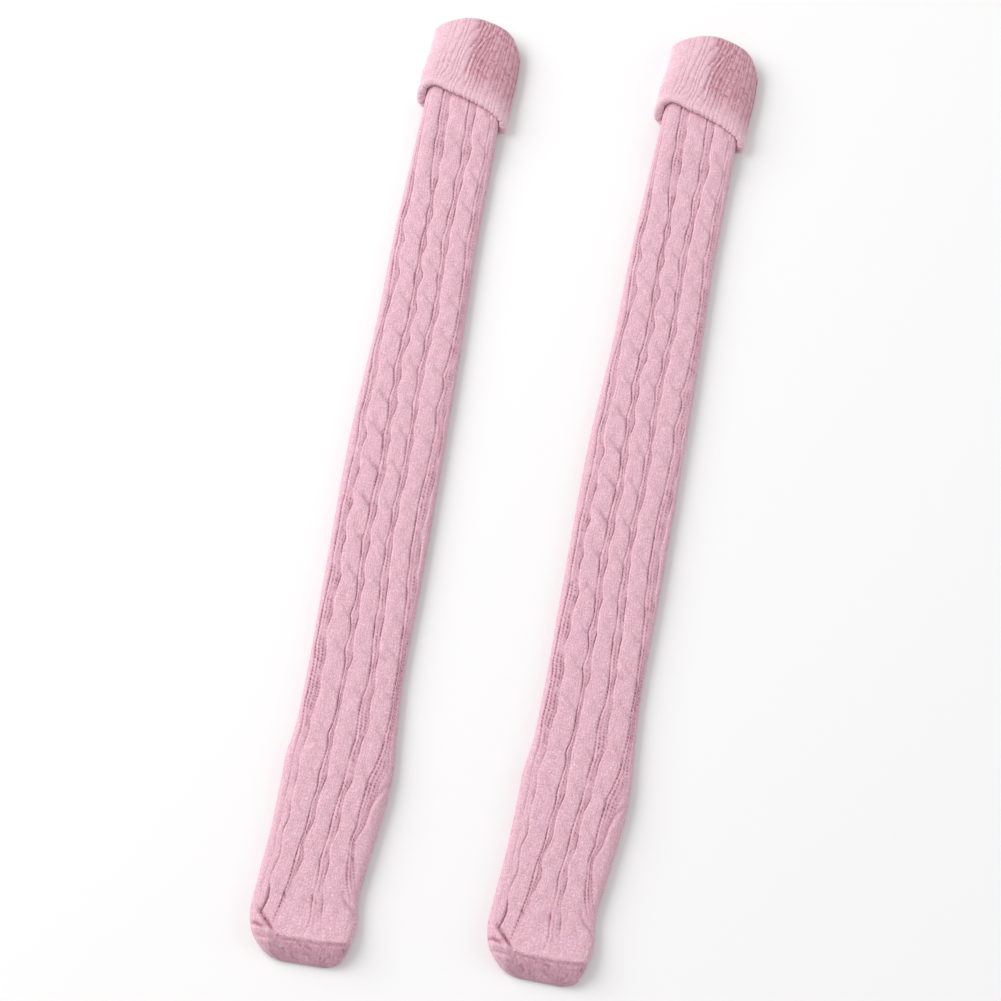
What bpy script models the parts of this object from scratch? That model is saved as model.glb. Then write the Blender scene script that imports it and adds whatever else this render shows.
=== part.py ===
"""A pair of cable-knit over-knee socks that lie flat side by side, their ribbed cuffs turned down.

Metres, +Z up. The toes point along -Y and the floor is z = 0. A sock is worked out in its own axes,
in millimetres: x across it, y from its toe end to its cuff, z up. An empty then lays it on the floor.
Every ring of points starts at the left edge, runs over the upper face to the right edge, and comes
back along the underside.
"""

import math
from collections import namedtuple

import bpy
import numpy as np

MM = 0.001

# How the pair lies: each sock's toe end on the floor, and its turn about the vertical.
Place = namedtuple("Place", "side x y turn")
PLACES = [
    Place("left", -0.0838, -0.4087, 1.075),
    Place("right", 0.0861, -0.3919, -1.075),
]

# The flattened tube of the leg and foot: its edges, and its thickness at the bottom of the grooves.
Section = namedtuple("Section", "y left right thick")
SECTIONS = [
    Section(0, -20, 16, 2.6),
    Section(3, -28.5, 23, 5.0),
    Section(8, -35, 26.5, 8.6),
    Section(15, -41, 29, 11.4),
    Section(22, -44, 31, 11.0),
    Section(32, -46, 32, 10.0),
    Section(50, -45.4, 30, 9.2),
    Section(90, -43, 34, 9.0),
    Section(130, -42.4, 38, 9.2),
    Section(150, -42.5, 38.4, 9.2),
    Section(170, -39.9, 36.8, 8.8),
    Section(210, -39, 34, 8.4),
    Section(300, -40.4, 34, 8.4),
    Section(430, -41.6, 33, 8.4),
    Section(510, -38.6, 31.8, 8.4),
    Section(600, -38.2, 29.6, 8.4),
    Section(676, -35.6, 30.2, 8.4),
    Section(704, -34.4, 30, 8.4),
    Section(752, -33.6, 30, 8.4),
]
# The leg rises off the floor where the cuff's lower layer lies under it.
CUFF_LIFT = 3.0
LIFT_FROM = 662.0
LIFT_TO = 694.0
RaisedSection = namedtuple("RaisedSection", "left right lift top")

# The four ladders between the cables: the x of each ladder's two grooves.
Ladders = namedtuple("Ladders", "y a0 a1 b0 b1 c0 c1 d0 d1")
LADDERS = [
    Ladders(32, -41, -36.5, -24, -21, -1, 7, 24, 28),
    Ladders(55, -39, -35, -21, -18.5, -2.3, 3.8, 24, 27.5),
    Ladders(80, -37, -32.7, -18.7, -15.1, -0.4, 3.8, 17.5, 20.5),
    Ladders(112, -35.5, -31, -15.8, -13.2, 0.8, 5.7, 19.4, 24),
    Ladders(142, -34.5, -30.7, -14.7, -10.9, 4.6, 10.7, 22.4, 30),
    Ladders(168, -33, -28.8, -13.2, -9.5, 6.3, 12.3, 27.6, 32.6),
    Ladders(190, -35, -27.5, -11.8, -8.7, 6.2, 13, 28, 32.2),
    Ladders(250, -35.6, -29, -12.5, -8.7, 6.1, 10.9, 26.6, 31),
    Ladders(365, -36.7, -30.2, -15.3, -9.4, 2.6, 7.6, 21.5, 25.5),
    Ladders(430, -36.2, -31.7, -15.5, -9.9, 3.9, 8, 24, 28),
    Ladders(500, -34.8, -30, -16, -9.5, 2.9, 7.2, 24.4, 28),
    Ladders(570, -34.3, -29.6, -14.6, -10.8, 3.4, 7, 23.4, 26.6),
    Ladders(610, -34.3, -31, -15.4, -11.8, 2.5, 7, 21.7, 24.7),
    Ladders(650, -33.4, -31, -18.4, -11.6, 2.5, 8.6, 23.4, 26.4),
    Ladders(690, -32.8, -31.2, -19.2, -12, 2.8, 10, 23, 26.4),
    Ladders(752, -31.8, -30.2, -19.3, -12.6, 1.8, 8.5, 23.8, 26.6),
]

# Heights of the knit over the bottom of the grooves.
STRAND_RISE = 2.1
STRAND_LIFT = 0.7
LADDER_RIB_RISE = 0.9
PLAIN_RISE = 1.2

# A cable's two strands: how far each swings from its middle line, and how far it reaches, as shares
# of half the cable's width; and how sharply they cross.
STRAND_SWING = 0.42
STRAND_REACH = 0.66
CROSSING_SHARPNESS = 0.6
CABLE_POINTS = (-0.6, 0.0, 0.6)

FIRST_CROSSING = 680.0
CROSSING_PITCH = 30.0
LAST_CROSSING_NUMBER = 21
RINGS_PER_CROSSING = 4
CABLE_END = 50.0
PLAIN_FROM = 30.0
TOE_SEAM = 15.0
TOE_SEAM_WIDTH = 3.0
TOE_RINGS = (0, 3, 8, 12, 15, 18, 22, 27, 33)
LEG_END = 752.0
HIDDEN_RINGS = (710, 725, LEG_END)

# The leg's wall, and the slit that the two layers leave between them.
FLOOR_WALL = 3.0
FACE_WALL = 3.0
SIDE_WALL = 4.2
MOST_SLIT = 3.2
SLIT_SHOULDER = 7.0
SLIT_RINGS = (12, 30, 60, 130, 170, 250, 340, 430, 510, 600, 676, 704, LEG_END)
EDGE_HEIGHT = 0.42
EDGE_ROUNDNESS = 4.0
UNDERSIDE_INSET = 4.5
UNDERSIDE_CORNER = 1.2
UNDERSIDE_CORNER_HEIGHT = 0.3

# The cuff: the y of its hem and of its fold, at shares of the way round from the left edge.
Brim = namedtuple("Brim", "share hem fold")
BRIM = [
    Brim(0.00, 723, 785),
    Brim(0.08, 732, 792),
    Brim(0.19, 727, 798),
    Brim(0.30, 721, 797),
    Brim(0.42, 712, 788),
    Brim(0.50, 704, 770),
    Brim(0.60, 704, 786),
    Brim(0.75, 709, 796),
    Brim(0.90, 716, 793),
    Brim(1.00, 723, 785),
]
# The cuff's outer section at shares of the way from its hem to its fold.
CuffSection = namedtuple("CuffSection", "share left right top")
CUFF_SECTIONS = [
    CuffSection(0.0, -41.2, 36.0, 18.0),
    CuffSection(0.3, -41.0, 36.8, 18.6),
    CuffSection(0.65, -38.2, 38.2, 18.6),
    CuffSection(1.0, -37.2, 38.2, 16.8),
]
CUFF_WALL = 2.4
CUFF_ROUNDNESS = 3.0
FLAT_ROUNDNESS = 8.0
RIBS = 24
RIB_RISE = 0.45
UNDERSIDE_POINTS = 10
RIB_RING_SHARES = (0.0, 0.05, 0.3, 0.55, 0.8, 1.0)
LINING_RING_SHARES = (0.92, 0.6, 0.3, 0.0)
PLAIN_POINTS = 24
FOLD_CREST = 2.6
LAYER_GAP = 6.0
SEAM_GAP = 0.3

CURVE_SAMPLES = 240
SHARP_FROM = 50.0


def smooth(rows, key, column, at):
    """A column's value at a place along the key column, on a smooth curve through the rows."""
    places = [getattr(row, key) for row in rows]
    values = [getattr(row, column) for row in rows]
    slopes = np.gradient(values, places)
    at = min(max(at, places[0]), places[-1])
    index = min(max(int(np.searchsorted(places, at)), 1), len(rows) - 1)
    span = places[index] - places[index - 1]
    t = (at - places[index - 1]) / span
    start = (2 * t**3 - 3 * t**2 + 1) * values[index - 1]
    end = (3 * t**2 - 2 * t**3) * values[index]
    bend = (t**3 - 2 * t**2 + t) * slopes[index - 1] + (t**3 - t**2) * slopes[index]
    return start + end + bend * span


def ease(low, high, value):
    """0 below low, 1 above high, and smooth between them."""
    t = min(max((value - low) / (high - low), 0.0), 1.0)
    return t * t * (3 - 2 * t)


def section_at(y):
    """The leg and foot's section at y, with the heights of its underside and its upper face."""
    left, right, thick = (smooth(SECTIONS, "y", name, y) for name in Section._fields[1:])
    lift = CUFF_LIFT * ease(LIFT_FROM, LIFT_TO, y)
    return RaisedSection(left, right, lift, lift + thick)


def edge_level(section):
    """The height of the tube's widest points."""
    return section.lift + EDGE_HEIGHT * (section.top - section.lift)


def face_height(section, x):
    """The height of the upper face at groove level, which rolls over at both edges."""
    middle = (section.left + section.right) / 2
    share = abs(x - middle) / ((section.right - section.left) / 2)
    level = edge_level(section)
    return level + (section.top - level) * max(1 - share**EDGE_ROUNDNESS, 0) ** (1 / EDGE_ROUNDNESS)


def cable_rise(across, y):
    """A two-strand cable's rise at a share of its half width. The upper strand runs left to right."""
    steps = (FIRST_CROSSING - y) / CROSSING_PITCH + 0.5
    steps -= CROSSING_SHARPNESS * math.sin(2 * math.pi * steps) / (2 * math.pi)
    rises = [0.0]
    for strand in range(2):
        phase = math.pi * (steps + strand)
        middle = -STRAND_SWING * math.cos(phase)
        arch = 1 - ((across - middle) / STRAND_REACH) ** 2
        if arch > 0:
            rises.append(STRAND_RISE * math.sqrt(arch) + STRAND_LIFT * math.sin(phase))
    return max(rises)


def groove_lines(y):
    """The x of the eight grooves at y. Past the last row they keep their shares of the width."""
    held = max(y, LADDERS[0].y)
    there, here = section_at(held), section_at(y)
    stretch = (here.right - here.left) / (there.right - there.left)
    lines = (smooth(LADDERS, "y", name, held) for name in Ladders._fields[1:])
    return [here.left + (line - there.left) * stretch for line in lines]


def knit_columns(y):
    """(x, rise over the grooves) across the upper face at y, between its two edges."""
    section = section_at(y)
    lines = groove_lines(y)
    columns = [((section.left + lines[0]) / 2, PLAIN_RISE)]
    for index in range(0, len(lines), 2):
        left, right = lines[index], lines[index + 1]
        columns += [(left, 0.0), ((left + right) / 2, LADDER_RIB_RISE), (right, 0.0)]
        if index + 2 < len(lines):
            middle = (right + lines[index + 2]) / 2
            half = (lines[index + 2] - right) / 2
            columns += [(middle + across * half, cable_rise(across, y)) for across in CABLE_POINTS]
    columns.append(((section.right + lines[-1]) / 2, PLAIN_RISE))
    return columns


def leg_ring(y):
    """The outer ring of the leg or foot at y: raised knit above, a flat underside below."""
    section = section_at(y)
    level = edge_level(section)
    knitted = ease(PLAIN_FROM, CABLE_END, y)
    plain = PLAIN_RISE * ease(TOE_SEAM - TOE_SEAM_WIDTH / 2, TOE_SEAM + TOE_SEAM_WIDTH / 2, y)
    ring = [(section.left, level)]
    for x, rise in knit_columns(y):
        ring.append((x, face_height(section, x) + knitted * rise + (1 - knitted) * plain))
    ring.append((section.right, level))
    corner = section.lift + UNDERSIDE_CORNER_HEIGHT * (level - section.lift)
    ring.append((section.right - UNDERSIDE_CORNER, corner))
    ring.append((section.right - UNDERSIDE_INSET, section.lift))
    ring.append((section.left + UNDERSIDE_INSET, section.lift))
    ring.append((section.left + UNDERSIDE_CORNER, corner))
    return np.array([(x, y, z) for x, z in ring])


def slit_ring(y, place=None):
    """The plain ring inside the leg at y, moved along to place where that is given."""
    section = section_at(y)
    low = section.lift + FLOOR_WALL
    high = min(section.top - FACE_WALL, low + MOST_SLIT)
    left, right = section.left + SIDE_WALL, section.right - SIDE_WALL
    middle, half_way = (left + right) / 2, (low + high) / 2
    shoulder = SLIT_SHOULDER - SIDE_WALL
    ring = [
        (left, half_way),
        (left + shoulder, high),
        (middle, high),
        (right - shoulder, high),
        (right, half_way),
        (right - shoulder, low),
        (middle, low),
        (left + shoulder, low),
    ]
    along = y if place is None else place
    return np.array([(x, along, z) for x, z in ring])


def half_oval(left, right, level, height, roundness, count):
    """Evenly spaced points from the left edge to the right one, count of them, without the last."""
    angles = np.linspace(math.pi, 0, CURVE_SAMPLES)
    cosines, sines = np.cos(angles), np.abs(np.sin(angles))
    across = np.sign(cosines) * np.abs(cosines) ** (2 / roundness)
    x = (left + right) / 2 + across * (right - left) / 2
    z = level + height * sines ** (2 / roundness)
    lengths = np.concatenate([[0], np.cumsum(np.hypot(np.diff(x), np.diff(z)))])
    wanted = np.linspace(0, lengths[-1], count + 1)[:-1]
    return np.stack([np.interp(wanted, lengths, x), np.interp(wanted, lengths, z)], axis=1)


def oval(left, right, bottom, top, above, below, inset=0.0):
    """(share of the way round, x, z) of a flattened oval: above points over it, below points under."""
    level = bottom + EDGE_HEIGHT * (top - bottom)
    left, right = left + inset, right - inset
    upper = half_oval(left, right, level, top - inset - level, CUFF_ROUNDNESS, above)
    lower = half_oval(left, right, level, bottom + inset - level, FLAT_ROUNDNESS, below)
    lower = np.concatenate([[(right, level)], lower[:0:-1]])
    shares = np.concatenate([np.arange(above) / above / 2, 0.5 + np.arange(below) / below / 2])
    return np.column_stack([shares, np.concatenate([upper, lower])])


def outward(points):
    """Unit vectors that point out of a ring of (x, z) points."""
    along = np.roll(points, -1, axis=0) - np.roll(points, 1, axis=0)
    out = np.stack([-along[:, 1], along[:, 0]], axis=1)
    return out / np.linalg.norm(out, axis=1)[:, None]


def cuff_ring(way, inset=0.0, ribbed=False):
    """A ring of the cuff's outer layer, way of the way from its hem to its fold."""
    left, right, top = (
        smooth(CUFF_SECTIONS, "share", name, way) for name in CuffSection._fields[1:]
    )
    above = 2 * RIBS if ribbed else PLAIN_POINTS // 2
    below = UNDERSIDE_POINTS if ribbed else PLAIN_POINTS // 2
    points = oval(left, right, 0.0, top, above, below, inset)
    if ribbed:
        rises = np.where(np.arange(above) % 2 == 1, RIB_RISE, -RIB_RISE)
        rises[0] = 0.0
        points[:above, 1:] += outward(points[:, 1:])[:above] * rises[:, None]
    ring = []
    for share, x, z in points:
        hem, fold = (smooth(BRIM, "share", name, share) for name in ("hem", "fold"))
        ring.append((x, hem + way * (fold - hem), z))
    return np.array(ring)


def inner_layer_ring(way):
    """A ring of the outer side of the cuff's inner layer, way of the way from its seam to the fold."""
    section = section_at(LEG_END)
    points = oval(
        section.left,
        section.right,
        section.lift,
        section.top + STRAND_RISE,
        PLAIN_POINTS // 2,
        PLAIN_POINTS // 2,
    )
    start = LEG_END + SEAM_GAP
    ring = []
    for share, x, z in points:
        end = smooth(BRIM, "share", "fold", share) - LAYER_GAP
        ring.append((x, start + way * (end - start), z))
    return np.array(ring)


def crest_ring():
    """The top of the fold, half way between the two layers."""
    outer, inner = cuff_ring(1.0), inner_layer_ring(1.0)
    crest = (outer + inner) / 2
    crest[:, 1] = outer[:, 1] + FOLD_CREST
    return crest


def mouth_ring():
    """The slit at the fold, which follows the fold's line."""
    ring = slit_ring(LEG_END)
    for point, share in zip(ring, round_shares(ring), strict=True):
        point[1] = smooth(BRIM, "share", "fold", share)
    return ring


def round_shares(ring):
    """Each point's share of the way round its ring, measured in x and z."""
    steps = np.roll(ring, -1, axis=0) - ring
    lengths = np.hypot(steps[:, 0], steps[:, 2])
    return np.concatenate([[0], np.cumsum(lengths)[:-1]]) / lengths.sum()


def strip(first, second, start, after):
    """Triangles between two rings whose points are numbered from start and from after."""
    many, more = len(first), len(second)
    if many == more:
        here, there = np.arange(many) / many, np.arange(more) / more
    else:
        here, there = round_shares(first), round_shares(second)
    here, there = np.append(here, 1.0), np.append(there, 1.0)
    triangles = []
    i = j = 0
    while i < many or j < more:
        a, b = start + i % many, after + j % more
        if j == more or (i < many and here[i + 1] <= there[j + 1]):
            triangles.append((a, start + (i + 1) % many, b))
            i += 1
        else:
            triangles.append((a, after + (j + 1) % more, b))
            j += 1
    return triangles


def loft(rings, looped):
    """(points, faces) of rings joined in order. A loop joins its ends, and otherwise both are capped."""
    starts = np.concatenate([[0], np.cumsum([len(ring) for ring in rings])])
    faces = []
    for index in range(len(rings) - 1):
        faces += strip(rings[index], rings[index + 1], int(starts[index]), int(starts[index + 1]))
    if looped:
        faces += strip(rings[-1], rings[0], int(starts[-2]), 0)
    else:
        faces.append(tuple(range(len(rings[0]) - 1, -1, -1)))
        faces.append(tuple(range(int(starts[-2]), int(starts[-1]))))
    return np.concatenate(rings), faces


def leg_and_foot():
    """The tube from its closed toe up to its rim inside the cuff, and back down the slit."""
    step = CROSSING_PITCH / RINGS_PER_CROSSING
    lowest = FIRST_CROSSING - (LAST_CROSSING_NUMBER + 0.5) * CROSSING_PITCH + step / 2
    knitted = np.arange(lowest, HIDDEN_RINGS[0] - step / 2, step)
    rings = [leg_ring(y) for y in (*TOE_RINGS, *knitted, *HIDDEN_RINGS)]
    rings += [slit_ring(y) for y in reversed(SLIT_RINGS)]
    return loft(rings, looped=False)


def turned_down_cuff():
    """Out and up from the hem, over the fold, down the slit to the seam, and back to the hem."""
    rings = [cuff_ring(way, ribbed=True) for way in RIB_RING_SHARES]
    rings.append(crest_ring())
    rings.append(mouth_ring())
    rings.append(slit_ring(LEG_END, LEG_END + SEAM_GAP))
    rings += [inner_layer_ring(way) for way in (0.0, 1.0)]
    rings += [cuff_ring(way, inset=CUFF_WALL) for way in LINING_RING_SHARES]
    return loft(rings, looped=True)


def knit_material(name, colour):
    """Matt knitted acrylic in one colour."""
    material = bpy.data.materials.new(name)
    material.use_nodes = True
    shader = material.node_tree.nodes["Principled BSDF"]
    shader.inputs["Base Color"].default_value = (*colour, 1.0)
    shader.inputs["Roughness"].default_value = 0.95
    shader.inputs["Metallic"].default_value = 0.0
    material.diffuse_color = (*colour, 1.0)
    return material


def add_piece(name, shape, material, parent, collection):
    """A mesh object from (points in millimetres, faces), laid down with its parent."""
    points, faces = shape
    mesh = bpy.data.meshes.new(name)
    mesh.from_pydata((points * MM).tolist(), [], faces)
    mesh.materials.append(material)
    mesh.shade_smooth()
    mesh.set_sharp_from_angle(angle=math.radians(SHARP_FROM))
    piece = bpy.data.objects.new(name, mesh)
    piece.parent = parent
    collection.objects.link(piece)
    return piece


def clear_scene():
    """Removes what a new file holds."""
    for item in list(bpy.data.objects):
        bpy.data.objects.remove(item, do_unlink=True)


def build_pair():
    """Both socks, each a leg with its foot and a turned-down cuff."""
    collection = bpy.data.collections.new("over_knee_socks")
    bpy.context.scene.collection.children.link(collection)
    cable_knit = knit_material("cable_knit", (0.723, 0.436, 0.518))
    rib_knit = knit_material("rib_knit", (0.776, 0.508, 0.582))
    leg_shape = leg_and_foot()
    cuff_shape = turned_down_cuff()
    for place in PLACES:
        sock = bpy.data.objects.new(f"{place.side}_sock", None)
        sock.location = (place.x, place.y, 0.0)
        sock.rotation_euler = (0.0, 0.0, math.radians(place.turn))
        collection.objects.link(sock)
        add_piece(f"{place.side}_leg_foot", leg_shape, cable_knit, sock, collection)
        add_piece(f"{place.side}_cuff", cuff_shape, rib_knit, sock, collection)


clear_scene()
build_pair()
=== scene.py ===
"""The looks of a pair of cable-knit over-the-knee socks, laid flat with their ribbed cuffs turned down.

Each sock is worked out in its own axes, in millimetres: x across it, y from its toe to its cuff, z up
from the floor. Every ring of points starts at the sock's left edge, runs over the upper face to the
right edge, and comes back along the underside. The finished points are laid down in the row's frame,
in metres.
"""

from __future__ import annotations

import logging
import math
from collections.abc import Sequence
from dataclasses import dataclass, field
from enum import Enum
from typing import NamedTuple

import bpy
import numpy as np
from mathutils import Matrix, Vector
from numpy.typing import NDArray


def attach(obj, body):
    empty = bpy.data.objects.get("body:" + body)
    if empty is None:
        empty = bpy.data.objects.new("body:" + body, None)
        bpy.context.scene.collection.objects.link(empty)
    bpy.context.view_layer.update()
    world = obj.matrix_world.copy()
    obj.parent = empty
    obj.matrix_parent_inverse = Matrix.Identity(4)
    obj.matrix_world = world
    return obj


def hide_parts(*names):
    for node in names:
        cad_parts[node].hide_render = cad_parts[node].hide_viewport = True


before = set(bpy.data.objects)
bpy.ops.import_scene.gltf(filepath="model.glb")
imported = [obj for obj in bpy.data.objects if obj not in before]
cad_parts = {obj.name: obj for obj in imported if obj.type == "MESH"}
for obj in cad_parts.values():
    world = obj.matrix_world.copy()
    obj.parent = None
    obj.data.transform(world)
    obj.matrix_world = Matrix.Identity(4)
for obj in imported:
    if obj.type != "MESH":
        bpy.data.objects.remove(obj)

Floats = NDArray[np.float64]

LOG = logging.getLogger("socks")
MM = 0.001


# ---------------------------------------------------------------------------------------------
# Curves and shares
# ---------------------------------------------------------------------------------------------


@dataclass(frozen=True)
class Track:
    """A smooth curve through values that are set at places along one axis."""

    places: tuple[float, ...]
    values: tuple[float, ...]

    def at(self, where: Floats) -> Floats:
        """The curve's value at each place.

        Args:
            where: places along the axis. Past either end the curve keeps its last value.

        Returns:
            The values, in the shape of where.
        """
        places, values = np.array(self.places), np.array(self.values)
        slopes = np.gradient(values, places)
        where = np.clip(where, places[0], places[-1])
        index = np.clip(np.searchsorted(places, where), 1, len(places) - 1)
        span = places[index] - places[index - 1]
        t = (where - places[index - 1]) / span
        start = (2 * t**3 - 3 * t**2 + 1) * values[index - 1]
        end = (3 * t**2 - 2 * t**3) * values[index]
        bend = (t**3 - 2 * t**2 + t) * slopes[index - 1] + (t**3 - t**2) * slopes[index]
        return start + end + bend * span


def tracks_through(rows: Sequence[tuple[float, ...]]) -> dict[str, Track]:
    """One track for each column of a table, along its first column.

    Args:
        rows: the table's rows, all of one named tuple.

    Returns:
        The tracks by the name of their column.
    """
    names = rows[0]._fields[1:]
    places = tuple(float(row[0]) for row in rows)
    return {
        name: Track(places, tuple(float(getattr(row, name)) for row in rows)) for name in names
    }


def ease(low: float, high: float, value: Floats) -> Floats:
    """0 below low, 1 above high, and smooth between them."""
    t = np.clip((np.asarray(value, dtype=float) - low) / (high - low), 0.0, 1.0)
    return t * t * (3 - 2 * t)


def bell(value: Floats, width: float) -> Floats:
    """1 at zero, falling off smoothly to either side over about one width."""
    return np.exp(-((np.asarray(value) / width) ** 2))


def distance_to_path(
    x: Floats, y: Floats, path: Sequence[tuple[float, float]]
) -> tuple[Floats, Floats]:
    """How far points lie from a bent line, and how far along it their nearest place is.

    Args:
        x: the points' x.
        y: the points' y.
        path: the line's corners.

    Returns:
        The distances, and the shares of the way along the line, both in the shape of x.
    """
    corners = np.array(path, dtype=float)
    steps = np.hypot(*np.diff(corners, axis=0).T)
    starts = np.concatenate([[0.0], np.cumsum(steps)])
    nearest = np.full(np.shape(x), np.inf)
    share = np.zeros(np.shape(x))
    for index, step in enumerate(steps):
        (ax, ay), (bx, by) = corners[index], corners[index + 1]
        along = np.clip(((x - ax) * (bx - ax) + (y - ay) * (by - ay)) / step**2, 0.0, 1.0)
        gap = np.hypot(x - ax - along * (bx - ax), y - ay - along * (by - ay))
        closer = gap < nearest
        nearest = np.where(closer, gap, nearest)
        share = np.where(closer, (starts[index] + along * step) / starts[-1], share)
    return nearest, share


# ---------------------------------------------------------------------------------------------
# Finishes
# ---------------------------------------------------------------------------------------------


def linear(hexa: str) -> tuple[float, float, float, float]:
    """A colour for a shader.

    Args:
        hexa: the colour as it is seen, in sRGB, such as "#e8bccb".

    Returns:
        The linear red, green and blue, with an alpha of 1.
    """
    parts = [int(hexa[i : i + 2], 16) / 255 for i in (1, 3, 5)]
    red, green, blue = (c / 12.92 if c <= 0.04045 else ((c + 0.055) / 1.055) ** 2.4 for c in parts)
    return red, green, blue, 1.0


def add_node(
    tree: bpy.types.NodeTree,
    kind: str,
    inputs: dict[int | str, object] | None = None,
    **settings: object,
) -> bpy.types.Node:
    """Adds one node with its settings, values and links.

    Args:
        tree: the node tree that it goes into.
        kind: the node's type name in Blender.
        inputs: what goes into its sockets, by number or name: another node, whose first output is
            taken, a socket, or a plain value.
        settings: the node's own properties.

    Returns:
        The node.
    """
    node = tree.nodes.new(kind)
    for name, value in settings.items():
        setattr(node, name, value)
    for key, value in (inputs or {}).items():
        if isinstance(value, bpy.types.Node):
            value = value.outputs[0]
        if isinstance(value, bpy.types.NodeSocket):
            tree.links.new(value, node.inputs[key])
        else:
            node.inputs[key].default_value = value
    return node


def add_arch(tree: bpy.types.NodeTree, value: bpy.types.Node, scale: float) -> bpy.types.Node:
    """Adds nodes for an arch over a value: 0 at 0, 1 at 1 / scale, and 0 again at 2 / scale."""
    aside = add_node(
        tree, "ShaderNodeMath", {0: value, 1: scale, 2: -1.0}, operation="MULTIPLY_ADD"
    )
    squared = add_node(tree, "ShaderNodeMath", {0: aside, 1: aside}, operation="MULTIPLY")
    return add_node(tree, "ShaderNodeMath", {0: 1.0, 1: squared}, operation="SUBTRACT")


@dataclass(frozen=True)
class KnittedAcrylic:
    """Spun acrylic and wool yarn, weft-knitted on a fine machine: matt, soft and slightly fuzzy.

    Every stitch is a V of two slanting legs, whose gaps are painted a deeper rose: painted shade, and
    painted light thrown in by the yarn round them. Fibres of slightly different pinks are spun
    together, so the colour is never even.

    Fields:
        name: the material's name.
        light: the lightest of the spun pinks.
        middle: the darkest of them.
        lilac: what the darkest leans to in patches.
        deep: the painted shade in the depth of the knit, a deeper rose.
        pale: the painted highlight on the loose fibres that catch the light.
        stitch_bump: how far the stitches stand out.
        slant: how far each leg of a V climbs from its middle, in courses per wale.
        roughness: how matt the yarn is.
        speckle: how far the legs of the stitches differ in colour.
        gaping: how much painted shade, in the deep rose, shows in the few stitches that gape.
        fibre_glints: how much the painted highlight on the loose fibres covers where they are thickest.
        sunk: how much painted shade, in the deep rose, a hollow shows between its stitches too.
    """

    name: str
    light: str
    middle: str
    lilac: str
    deep: str
    pale: str = "#f8e6ec"
    stitch_bump: float = 0.55
    slant: float = 0.9
    roughness: float = 0.92
    speckle: float = 0.5
    gaping: float = 0.2
    fibre_glints: float = 0.7
    sunk: float = 0.34

    def stitch_heights(
        self,
        tree: bpy.types.NodeTree,
        wale: bpy.types.NodeSocket,
        course: bpy.types.NodeSocket,
        purl: bpy.types.NodeSocket,
    ) -> tuple[bpy.types.Node, bpy.types.Node]:
        """Adds the nodes for the relief of the stitches.

        Args:
            tree: the material's nodes.
            wale: the stitch coordinate across the columns.
            course: the stitch coordinate along them.
            purl: 1 in a purl column, and 0 in a knit one.

        Returns:
            The height, from 0 in the gaps to 1, and the course slanted along the legs of the Vs.
        """
        # How far a point is from its wale's middle line. Each side is one leg of the V.
        inside = add_node(tree, "ShaderNodeMath", {0: wale}, operation="FRACT")
        centred = add_node(tree, "ShaderNodeMath", {0: inside, 1: 0.5}, operation="SUBTRACT")
        aside = add_node(tree, "ShaderNodeMath", {0: centred}, operation="ABSOLUTE")
        across = add_arch(tree, aside, 4.0)
        slanted = add_node(
            tree, "ShaderNodeMath", {0: aside, 1: self.slant, 2: course}, operation="MULTIPLY_ADD"
        )
        within = add_node(tree, "ShaderNodeMath", {0: slanted}, operation="FRACT")
        along = add_arch(tree, within, 2.0)
        along_part = add_node(
            tree, "ShaderNodeMath", {0: along, 1: 0.65, 2: 0.35}, operation="MULTIPLY_ADD"
        )
        across_part = add_node(
            tree, "ShaderNodeMath", {0: across, 1: 0.6, 2: 0.4}, operation="MULTIPLY_ADD"
        )
        knit = add_node(
            tree, "ShaderNodeMath", {0: across_part, 1: along_part}, operation="MULTIPLY"
        )
        # Purl stitches are bars that lie across their column, with a hole between each two.
        bar = add_arch(tree, add_node(tree, "ShaderNodeMath", {0: course}, operation="FRACT"), 2.0)
        height = add_node(tree, "ShaderNodeMix", {0: purl, 2: knit, 3: bar}, data_type="FLOAT")
        return height, slanted

    def spun_colour(
        self,
        tree: bpy.types.NodeTree,
        place: bpy.types.NodeSocket,
        fibre: bpy.types.Node,
        luck: bpy.types.Node,
        height: bpy.types.Node,
    ) -> bpy.types.NodeSocket:
        """Adds the nodes for the yarn's colour, with painted shade in the gaps of the stitches.

        Args:
            tree: the material's nodes.
            place: the coordinates of a point.
            fibre: the pattern of loose fibres.
            luck: a random number for each leg of each stitch.
            height: the relief of the stitches.

        Returns:
            The colour.
        """
        # Painted shade: the legs of the stitches are lighter where they rise and darker in their gaps.
        tone = add_node(
            tree, "ShaderNodeMath", {0: luck, 1: 0.6, 2: height}, operation="MULTIPLY_ADD"
        )
        tone = add_node(tree, "ShaderNodeMath", {0: fibre, 1: 2.6, 2: tone}, operation="MULTIPLY_ADD")
        tone = add_node(
            tree,
            "ShaderNodeMapRange",
            {
                "Value": tone,
                "From Min": 1.3,
                "From Max": 3.1,
                "To Min": 0.5 - self.speckle,
                "To Max": 0.5 + self.speckle,
            },
        )
        # The spun pinks lean to lilac in some patches and to rose in others.
        patches = add_node(
            tree,
            "ShaderNodeTexNoise",
            {"Vector": place, "Scale": 95.0, "Detail": 2.0, "Roughness": 0.5},
        )
        lean = add_node(
            tree, "ShaderNodeMapRange", {"Value": patches, "From Min": 0.35, "From Max": 0.65}
        )
        dark = add_node(
            tree,
            "ShaderNodeMix",
            {0: lean, 6: linear(self.middle), 7: linear(self.lilac)},
            data_type="RGBA",
        )
        yarn = add_node(
            tree,
            "ShaderNodeMix",
            {0: tone, 6: dark.outputs[2], 7: linear(self.light)},
            data_type="RGBA",
        )
        # Painted highlights: pale flecks where loose fibres catch the light here and there.
        loose = add_node(
            tree,
            "ShaderNodeMapRange",
            {"Value": fibre, "From Min": 0.57, "From Max": 0.72, "To Max": self.fibre_glints},
        )
        glinted = add_node(
            tree,
            "ShaderNodeMix",
            {0: loose, 6: yarn.outputs[2], 7: linear(self.pale)},
            data_type="RGBA",
        )
        return glinted.outputs[2]

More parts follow.
